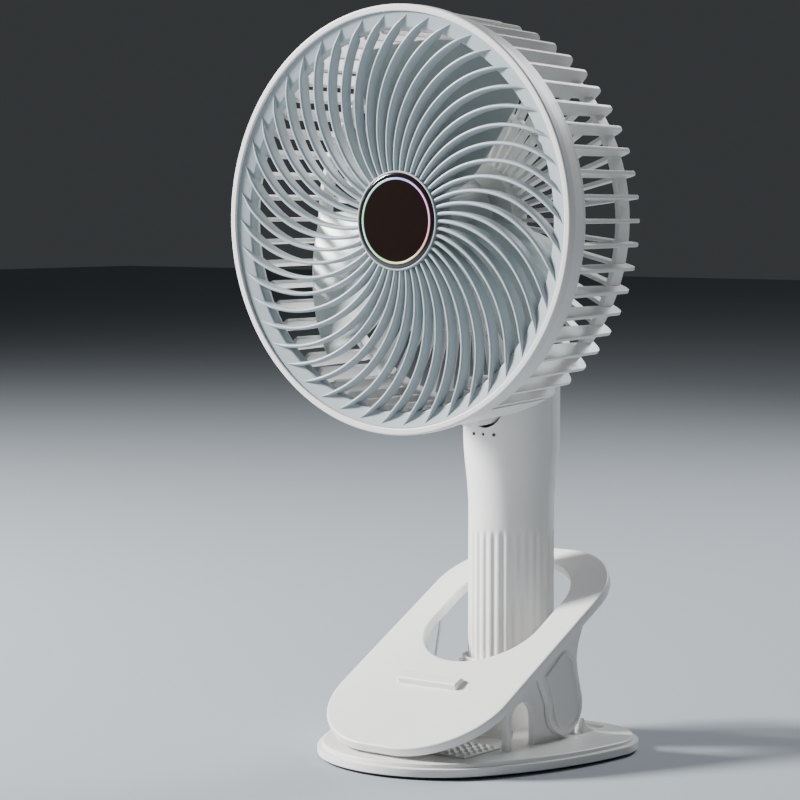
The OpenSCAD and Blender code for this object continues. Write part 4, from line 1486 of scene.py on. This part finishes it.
    def button(self) -> None:
        """Round power button with a dished face."""
        r, low, high = self.button_r, 14.85, 20.8
        cap = [(0, low), (r + 0.9, low), (r + 0.9, low + 1.2), (r, low + 1.2), (r, high)]
        cap += [(r - 1.0, high), (r - 2.2, high - 0.45), (0, high - 0.7)]
        at = Matrix.Translation((0, 0, self.button_z)) @ BACKWARDS
        body = Solid().lathe(cap, [0, 0.2, 0.2, 0.2, 0.5, 0.4, 1.5, 0], at, 72)
        self.shop.piece(
            body, "button_cap", "power_button", "cover_plastic", "power_button", crease=50
        )


# ---- base ----------------------------------------------------------------------


@dataclass
class Base:
    """Foot plate, lever brackets, socket and jaw.

    Attributes:
        shop: What it is built with.
        half_w: Half of the plate's width.
        front: Distance from the handle's axis to the plate's nose.
        rear: Distance from that axis to the plate's rear edge.
        nose_r: Radius of the nose.
        corner_r: Radius of the rear corners.
        low: Height of the plate's underside, on its rubber pad.
        top: Height of the plate's top.
        socket_r: Radius of the socket.
        bore_r: Radius of its bore.
        socket_z: Height of its top.
        throat_r: Radius of the curved wall ahead of it.
        hinge_y: Place of the lever's hinge.
        hinge_z: Height of that hinge.
        wall_x: Distance from the middle to a bracket's inner face.
        wall_t: Thickness of a bracket.
        lever_z: Height at which the lever's top meets the handle's axis.
        slope: Slope of the lever, in degrees.
        lever_t: Thickness of the lever.
        pin_r: Radius of the lever's pins.
        wire_r: Radius of the springs' wire.
    """

    shop: Shop
    half_w: float = 69.0
    front: float = 107.0
    rear: float = 24.0
    nose_r: float = 54.0
    corner_r: float = 34.0
    low: float = 1.2
    top: float = 6.7
    socket_r: float = 22.0
    bore_r: float = 19.75
    socket_z: float = 30.0
    throat_r: float = 41.0
    hinge_y: float = -18.0
    hinge_z: float = 21.0
    wall_x: float = 36.45
    wall_t: float = 3.2
    lever_z: float = 64.63
    slope: float = 28.0
    lever_t: float = 4.5
    pin_r: float = 2.5
    wire_r: float = 0.6

    def under(self, y: float) -> float:
        """Height of the lever's underside at a place along Y."""
        w = math.radians(self.slope)
        return self.lever_z + y * math.tan(w) - self.lever_t / math.cos(w)

    def outline(self) -> list[Point]:
        """Outline of the foot plate: nose arc, long side arcs and rounded rear corners.

        Returns:
            The outline.
        """
        ahead = self.front - self.nose_r
        turn = 2 * math.atan((self.half_w - self.nose_r) / ahead)
        side_r = self.nose_r + ahead / math.sin(turn)
        half = arc((0, -ahead), self.nose_r, -90, -math.degrees(turn), 36)
        half += arc((self.half_w - side_r, 0), side_r, -math.degrees(turn), -2.6, 26)[1:]
        corner = (self.half_w - self.corner_r, self.rear - self.corner_r)
        half += arc(corner, self.corner_r, 6.5, 90, 26)
        return half + [(-x, y) for x, y in reversed(half[1:])]

    def build(self) -> None:
        """Makes every piece of the base."""
        self.plate()
        self.pad()
        self.collar()
        self.jaw()
        self.springs()

    def plate(self) -> None:
        """Plate with its stepped rim, brackets, socket and throat wall."""
        z0, z1 = self.low, self.top
        stations = [(z0, 0.6), (z0 + 0.15, 0.25), (z0 + 0.5, 0.0)]
        rim = [(2.35, 0.0), (2.1, 0.12), (2.0, 0.4), (1.95, 1.5), (1.75, 1.9)]
        rim += [(0.55, 2.1), (0.2, 2.35), (0.03, 2.8), (0.0, 3.5)]
        body = Solid().stack([self.outline()], stations + [(z1 - z, i) for z, i in rim])
        well = [(-40.2, -88.2), (40.2, -88.2), (40.2, -27.8), (-40.2, -27.8)]
        body.cut(
            Solid().rod(8.06, -1, 20),
            Solid().rod(12.2, -1, z1 - 3.1),
            Solid().prism([well], -1, 3.3, 0.01),
        )
        self._socket(body)
        w, foot = self.wall_x, z1 - 1
        ramp = [(-4.6, foot), (-4.6, 15), (-3.2, 11.6), (0.2, 8.4), (6.5, z1 - 0.4), (6.5, foot)]
        rib = [(9.5, z1 - 0.5), (13.5, z1 - 0.5), (13.2, z1 + 1.1), (10.4, z1 + 1.5)]
        for frame in mirrored(UPRIGHT):
            body.prism([self._bracket()], w, w + self.wall_t, 0.45, frame)
            body.prism([fillet(ramp, [0, 0.8, 3, 3, 0, 0])], w, 43.0, 0.5, frame)
            body.prism([fillet(rib, 0.5)], 34.0, 42.0, 0.4, frame)
        self.shop.piece(body, "foot_plate", "base", "white_plastic", "base_frame", crease=40)

    def _socket(self, body: Solid) -> None:
        """Adds the socket round the handle's foot, and the curved throat wall ahead of it.

        Args:
            body: The plate.
        """
        z0, z1 = self.top - 1, self.socket_z
        ring = [(self.bore_r, z0), (self.socket_r, z0), (self.socket_r, z1), (self.bore_r, z1)]
        body.lathe(ring, [0, 0, 0.5, 0.4], IDENTITY, 96)
        r = self.throat_r
        wall = [(r - 2.4, z0), (r + 0.7, z0), (r, z0 + 2.4), (r, z1), (r - 2.4, z1)]
        body.lathe(wall, [0, 0, 1.5, 0.8, 0.6], IDENTITY, 56, -127, 74)

    def _bracket(self) -> list[Point]:
        """Side of a bracket, in Y and Z, with its arch.

        Returns:
            The outline.
        """
        y, z, base = self.hinge_y, self.hinge_z, self.top - 1
        corners = [(-58, base), (-58, self.under(-58) - 1.5), (-26, self.under(-26) - 1.5)]
        corners += [(y + 10, z + 5), (y + 12, base), (-38, base)]
        corners += [*arc((-46.5, z - 3), 8.5, 0, 180, 20), (-55, base)]
        return fillet(corners, [0, 1.2, 4, 9, 0, 0, *([0] * 21), 0])

    def pad(self) -> None:
        """Rubber foot pad."""
        body = Solid().prism([inset(self.outline(), 1.5)], 0.0, self.low - 0.05, 0.25)
        self.shop.piece(body, "foot_rubber", "base", "black_rubber", "foot_pad", crease=50)

    def collar(self) -> None:
        """Collar on the socket, with its small lugs."""
        z0, z1 = self.socket_z + 0.05, self.socket_z + 7
        r = self.socket_r + 0.2
        ring = [(self.bore_r, z0), (r, z0), (r, z1), (self.bore_r, z1)]
        body = Solid().lathe(ring, [0.2, 0.3, 0.7, 0.5], IDENTITY, 96)
        lug = fillet([(r - 0.5, -2), (r + 1.5, -2), (r + 1.5, 2), (r - 0.5, 2)], [0, 0.6, 0.6, 0])
        for turn in (-130, -50, 50, 130):
            at = Matrix.Rotation(math.radians(turn), 4, "Z")
            body.prism([lug], z0 + 0.95, z1 - 1, 0.5, at)
        self.shop.piece(body, "socket_ring", "base", "white_plastic", "socket_collar")

    def jaw(self) -> None:
        """Plate of diamond teeth under the lever's nose."""
        z = self.top + 0.05
        outline = fillet([(-34, -81), (34, -81), (34, -55), (-34, -55)], 0.6)
        body = Solid().prism([outline], z, z + 0.8, 0.2)
        half, high = 2.1, 1.35
        corners = ((-half, -half), (half, -half), (half, half), (-half, half))
        levels = ((1.0, 0.0), (0.24, high * 0.86), (0.1, high))
        tooth = Solid().loft([[Vector((x * k, y * k, h)) for x, y in corners] for k, h in levels])
        slot = self.shop.wardrobe["white_plastic"]
        teeth = self.shop.grid.made(tooth, slot, Size_X=63.8, Size_Y=21.6, Columns=16, Rows=6)
        body.absorb(teeth, Matrix.Translation((0, -68, z + 0.5)))
        self.shop.piece(body, "jaw_teeth", "base", "white_plastic", "jaw_grip", crease=20)

    def springs(self) -> None:
        """Torsion springs round the lever's pins."""
        coil_r, width, steps = self.pin_r + 1.3, 6.6, 110
        first, last = math.radians(-20.0), math.radians(-15.0 + 360 * 5)
        path = []
        for k in range(steps + 1):
            w = first + (last - first) * k / steps
            y, z = self.hinge_y + coil_r * math.cos(w), self.hinge_z + coil_r * math.sin(w)
            path.append(Vector((self.wall_x - 8 + width * k / steps, y, z)))
        clear = self.wire_r + 0.1
        slope = math.tan(math.radians(self.slope))
        low = (path[0].z - self.top - clear) / math.cos(first)
        up = self.under(path[-1].y) - path[-1].z - clear
        up /= math.cos(last) + slope * math.sin(last)
        path.insert(0, path[0] - Vector((0, -math.sin(first), math.cos(first))) * low)
        path.append(path[-1] + Vector((0, -math.sin(last), math.cos(last))) * up)
        body = Solid()
        for frame in mirrored(IDENTITY):
            body.tube([frame @ p for p in path], self.wire_r)
        obj = self.shop.piece(
            body, "torsion_springs", "base", "bright_steel", "lever_springs", crease=60
        )
        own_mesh(obj)


# ---- clip lever -------------------------------------------------------------------


@dataclass
class ClipLever:
    """Sloping lever with its opening, cheeks and side covers.

    Attributes:
        shop: What it is built with.
        base: The base that it is hinged on.
        half_w: Half of its width.
        front: Distance from the handle's axis to its nose, along the slope.
        rear: Distance from that axis to its rear edge.
        front_r: Radius of its front corners.
        rear_r: Radius of its rear corners.
        open_r: Radius of the opening's ends.
        open_front: Distance from the handle's axis to the opening's front.
        open_rear: Distance from that axis to the opening's rear.
        rest_w: Half of the finger rest's width.
        cheek_x: Distance from the middle to a cheek's outer face.
        cheek_t: Thickness of a cheek.
        cheek_r: Radius of a cheek's round end.
    """

    shop: Shop
    base: Base
    half_w: float = 45.0
    front: float = 113.0
    rear: float = 38.0
    front_r: float = 38.0
    rear_r: float = 34.0
    open_r: float = 28.5
    open_front: float = 51.0
    open_rear: float = 27.0
    rest_w: float = 16.0
    cheek_x: float = 43.0
    cheek_t: float = 3.0
    cheek_r: float = 12.8

    def __post_init__(self) -> None:
        """Sets the lever's frame: its Z axis stands on the sloping top."""
        turn = Matrix.Rotation(math.radians(self.base.slope), 4, "X")
        self.frame = Matrix.Translation((0, 0, self.base.lever_z)) @ turn

    def build(self) -> None:
        """Makes the lever, its pad and its covers."""
        self.plate()
        self.pad()
        for side, frame in zip(("right", "left"), mirrored(UPRIGHT)):
            self.cover(side, frame)

    def _outline(self) -> list[Point]:
        """Outline of the lever's plate.

        Returns:
            The outline.
        """
        w, fr, rr = self.half_w, self.front_r, self.rear_r
        half = [(0.0, -self.front), *arc((w - fr, -self.front + fr), fr, -90, 0, 30)]
        half += [(w, -30.0), (w, -8.0), *arc((w - rr, self.rear - rr), rr, 0, 90, 28)]
        return half + [(-x, y) for x, y in reversed(half[1:])]

    def _opening(self) -> list[Point]:
        """Outline of the opening round the handle."""
        r, low, high = self.open_r, -self.open_front, self.open_rear
        return [*arc((0, low + r), r, 180, 360, 48), *arc((0, high - r), r, 0, 180, 48)]

    def plate(self) -> None:
        """Lever plate, finger rest and cheeks."""
        t = self.base.lever_t
        edge = [(-t, 0.7), (-t + 0.2, 0.25), (-t + 0.6, 0.0), (-0.9, 0.0), (-0.45, 0.12)]
        edge += [(-0.16, 0.45), (-0.03, 0.95), (0.0, 1.6)]
        body = Solid().stack([self._outline(), self._opening()], edge, self.frame)
        rest = fillet([(-71, -0.4), (-70.5, 2.9), (-64.8, 2.5), (-63, -0.4)], [0, 1.1, 1.4, 0], 5)
        body.prism([rest], -self.rest_w, self.rest_w, 0.9, self.frame @ UPRIGHT, 4)
        hole = arc((self.base.hinge_y, self.base.hinge_z), self.base.pin_r + 0.06, 0, 350, 35)
        low, high = self.cheek_x - self.cheek_t, self.cheek_x
        for frame in mirrored(UPRIGHT):
            body.prism([self._cheek(), hole], low, high, 0.5, frame)
        self.shop.piece(body, "lever_plate", "clip_lever", "white_plastic", "clip_lever")

    def _cheek(self) -> list[Point]:
        """Side of a cheek: it narrows from the lever to the round end at the hinge.

        Returns:
            The outline, in Y and Z.
        """
        y, z, under = self.base.hinge_y, self.base.hinge_z, self.base.under
        rise = under(y) - z
        corners = [(y - 30, under(y - 30) + 1), (y - 20, z + 0.54 * rise)]
        corners += arc((y, z), self.cheek_r, 171, 384, 34)
        corners += [(y + 9, z + 0.5 * rise), (y + 8, z + 0.72 * rise), (y + 9.5, z + 0.93 * rise)]
        corners += [(y + 14.5, under(y + 14.5) + 1)]
        return fillet(corners, [0, 9, *([0] * 35), 14, 12, 8, 0], 6)

    def _cover_outline(self) -> list[Point]:
        """Outline of a side cover.

        Returns:
            The outline, in Y and Z.
        """
        y, z, under = self.base.hinge_y, self.base.hinge_z, self.base.under
        rise = under(y) - z
        corners = [(y - 16.5, z + 0.54 * rise), *arc((y, z), self.cheek_r - 2.4, 170, 384, 34)]
        corners += [(y + 6, z + 0.5 * rise), (y + 5, z + 0.72 * rise), (y - 1, under(y - 1) - 3.5)]
        corners += [(y - 4, under(y - 4) - 3), (y - 15, under(y - 15) - 0.15 * rise)]
        outline = fillet(corners, [5, *([0] * 35), 14, 12, 3.5, 3.5, 5], 6)
        return outline if area(outline) > 0 else outline[::-1]

    def cover(self, side: str, frame: Matrix) -> None:
        """Oblong cover over a pin's end, with a raised lip.

        Args:
            side: Which side it is on, right or left.
            frame: Where it stands.
        """
        x = self.cheek_x + 0.05
        lip = [(0.0, 0.15), (0.15, 0.0), (0.85, 0.0), (1.1, 0.12), (1.2, 0.4), (1.2, 0.9)]
        lip += [(1.1, 1.15), (0.75, 1.45), (0.7, 1.8)]
        body = Solid().stack([self._cover_outline()], [(x + h, i) for h, i in lip], frame)
        name, node = f"pin_cover_{side}", f"side_cover_{side}"
        self.shop.piece(body, name, "clip_lever", "cover_plastic", node, crease=50)

    def pad(self) -> None:
        """Rubber pad under the lever's nose."""
        t = self.base.lever_t + 0.05
        outline = fillet([(-28, -105), (28, -105), (28, -83), (-28, -83)], 2.0)
        body = Solid().prism([outline], -t - 1.3, -t, 0.3, self.frame)
        self.shop.piece(body, "nose_pad", "clip_lever", "grey_rubber", "lever_pad", crease=50)


# ---- studio ------------------------------------------------------------------------


@dataclass(frozen=True)
class Lamp:
    """A soft area light, aimed at a point.

    Attributes:
        name: Its name.
        place: Where it stands, in metres.
        size: Its diameter, in metres.
        power: Its power, in watts.
        colour: Its colour.
        aim: The point that it faces, in metres.
    """

    name: str
    place: tuple[float, float, float]
    size: float
    power: float
    colour: Colour
    aim: tuple[float, float, float] = (0.0, -0.04, 0.16)

    def build(self) -> None:
        """Adds the light to the scene."""
        data = bpy.data.lights.new(self.name, "AREA")
        data.shape, data.size = "DISK", self.size
        data.energy, data.color = self.power, self.colour
        lamp = bpy.data.objects.new(self.name, data)
        lamp.location = self.place
        facing = Vector(self.aim) - Vector(self.place)
        lamp.rotation_euler = facing.to_track_quat("-Z", "Y").to_euler()
        bpy.context.scene.collection.objects.link(lamp)


@dataclass(frozen=True)
class Studio:
    """Camera, lights and floor.

    Attributes:
        eye: Where the camera stands, in metres.
        turn: Its tilt from straight down and its turn about Z, in degrees.
        lens: Its focal length.
        lamps: The lights.
        surround: Colour of the even light from all round.
        surround_power: Strength of that light.
        floor_reach: Half of the floor's width, in metres.
        floor_colour: Colour of the floor.
    """

    eye: tuple[float, float, float] = (0.6888, -0.9644, 0.2433)
    turn: tuple[float, float] = (85.63, 37.97)
    lens: float = 118.5
    lamps: tuple[Lamp, ...] = (
        Lamp("key", (-1.35, -0.80, 0.95), 0.40, 112.0, (1.0, 0.99, 0.975)),
        Lamp("fill", (1.25, -0.95, 0.40), 0.8, 1.6, (0.95, 0.975, 1.0)),
        Lamp("back", (0.10, 1.15, 1.05), 0.6, 16.0, (0.95, 0.975, 1.0)),
    )
    surround: Colour = (0.80, 0.86, 0.92)
    surround_power: float = 0.05
    floor_reach: float = 6.0
    floor_colour: Colour = (0.33, 0.365, 0.40)

    def camera(self) -> None:
        """Adds the camera and makes it the scene's."""
        data = bpy.data.cameras.new("camera")
        data.lens, data.sensor_width = self.lens, 36.0
        data.clip_start, data.clip_end = 0.01, 50.0
        made = bpy.data.objects.new("camera", data)
        made.location = self.eye
        made.rotation_euler = (math.radians(self.turn[0]), 0.0, math.radians(self.turn[1]))
        bpy.context.scene.collection.objects.link(made)
        bpy.context.scene.camera = made

    def light(self) -> None:
        """Adds the lights and a dim, even surround."""
        for lamp in self.lamps:
            lamp.build()
        world = bpy.data.worlds.new("surround")
        world.use_nodes = True
        background = world.node_tree.nodes["Background"].inputs
        background["Color"].default_value = (*self.surround, 1)
        background["Strength"].default_value = self.surround_power
        bpy.context.scene.world = world

    def floor(self) -> None:
        """Adds a plain pale floor."""
        mesh = bpy.data.meshes.new("floor")
        s = self.floor_reach
        mesh.from_pydata([(-s, -s, 0), (s, -s, 0), (s, s, 0), (-s, s, 0)], [], [(0, 1, 2, 3)])
        made = bpy.data.materials.new("floor")
        made.use_nodes = True
        surface = made.node_tree.nodes["Principled BSDF"].inputs
        surface["Base Color"].default_value = (*self.floor_colour, 1)
        surface["Roughness"].default_value = 0.7
        mesh.materials.append(made)
        Workshop.scratch(mesh)


def main() -> None:
    """Builds the fan's looks."""
    logging.basicConfig(level=logging.INFO, format="%(message)s")
    studio = Studio()
    studio.camera()
    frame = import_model()
    LOG.info("loaded %d nodes", len(frame["nodes"]))
    wardrobe = Wardrobe()
    wardrobe.dress_nodes(frame)
    shop = Shop(wardrobe)
    head = Head(shop)
    head.build()
    Impeller(shop, head.frame).build()
    Handle(shop).build()
    base = Base(shop)
    base.build()
    ClipLever(shop, base).build()
    studio.light()
    studio.floor()


if __name__ == "__main__":
    main()
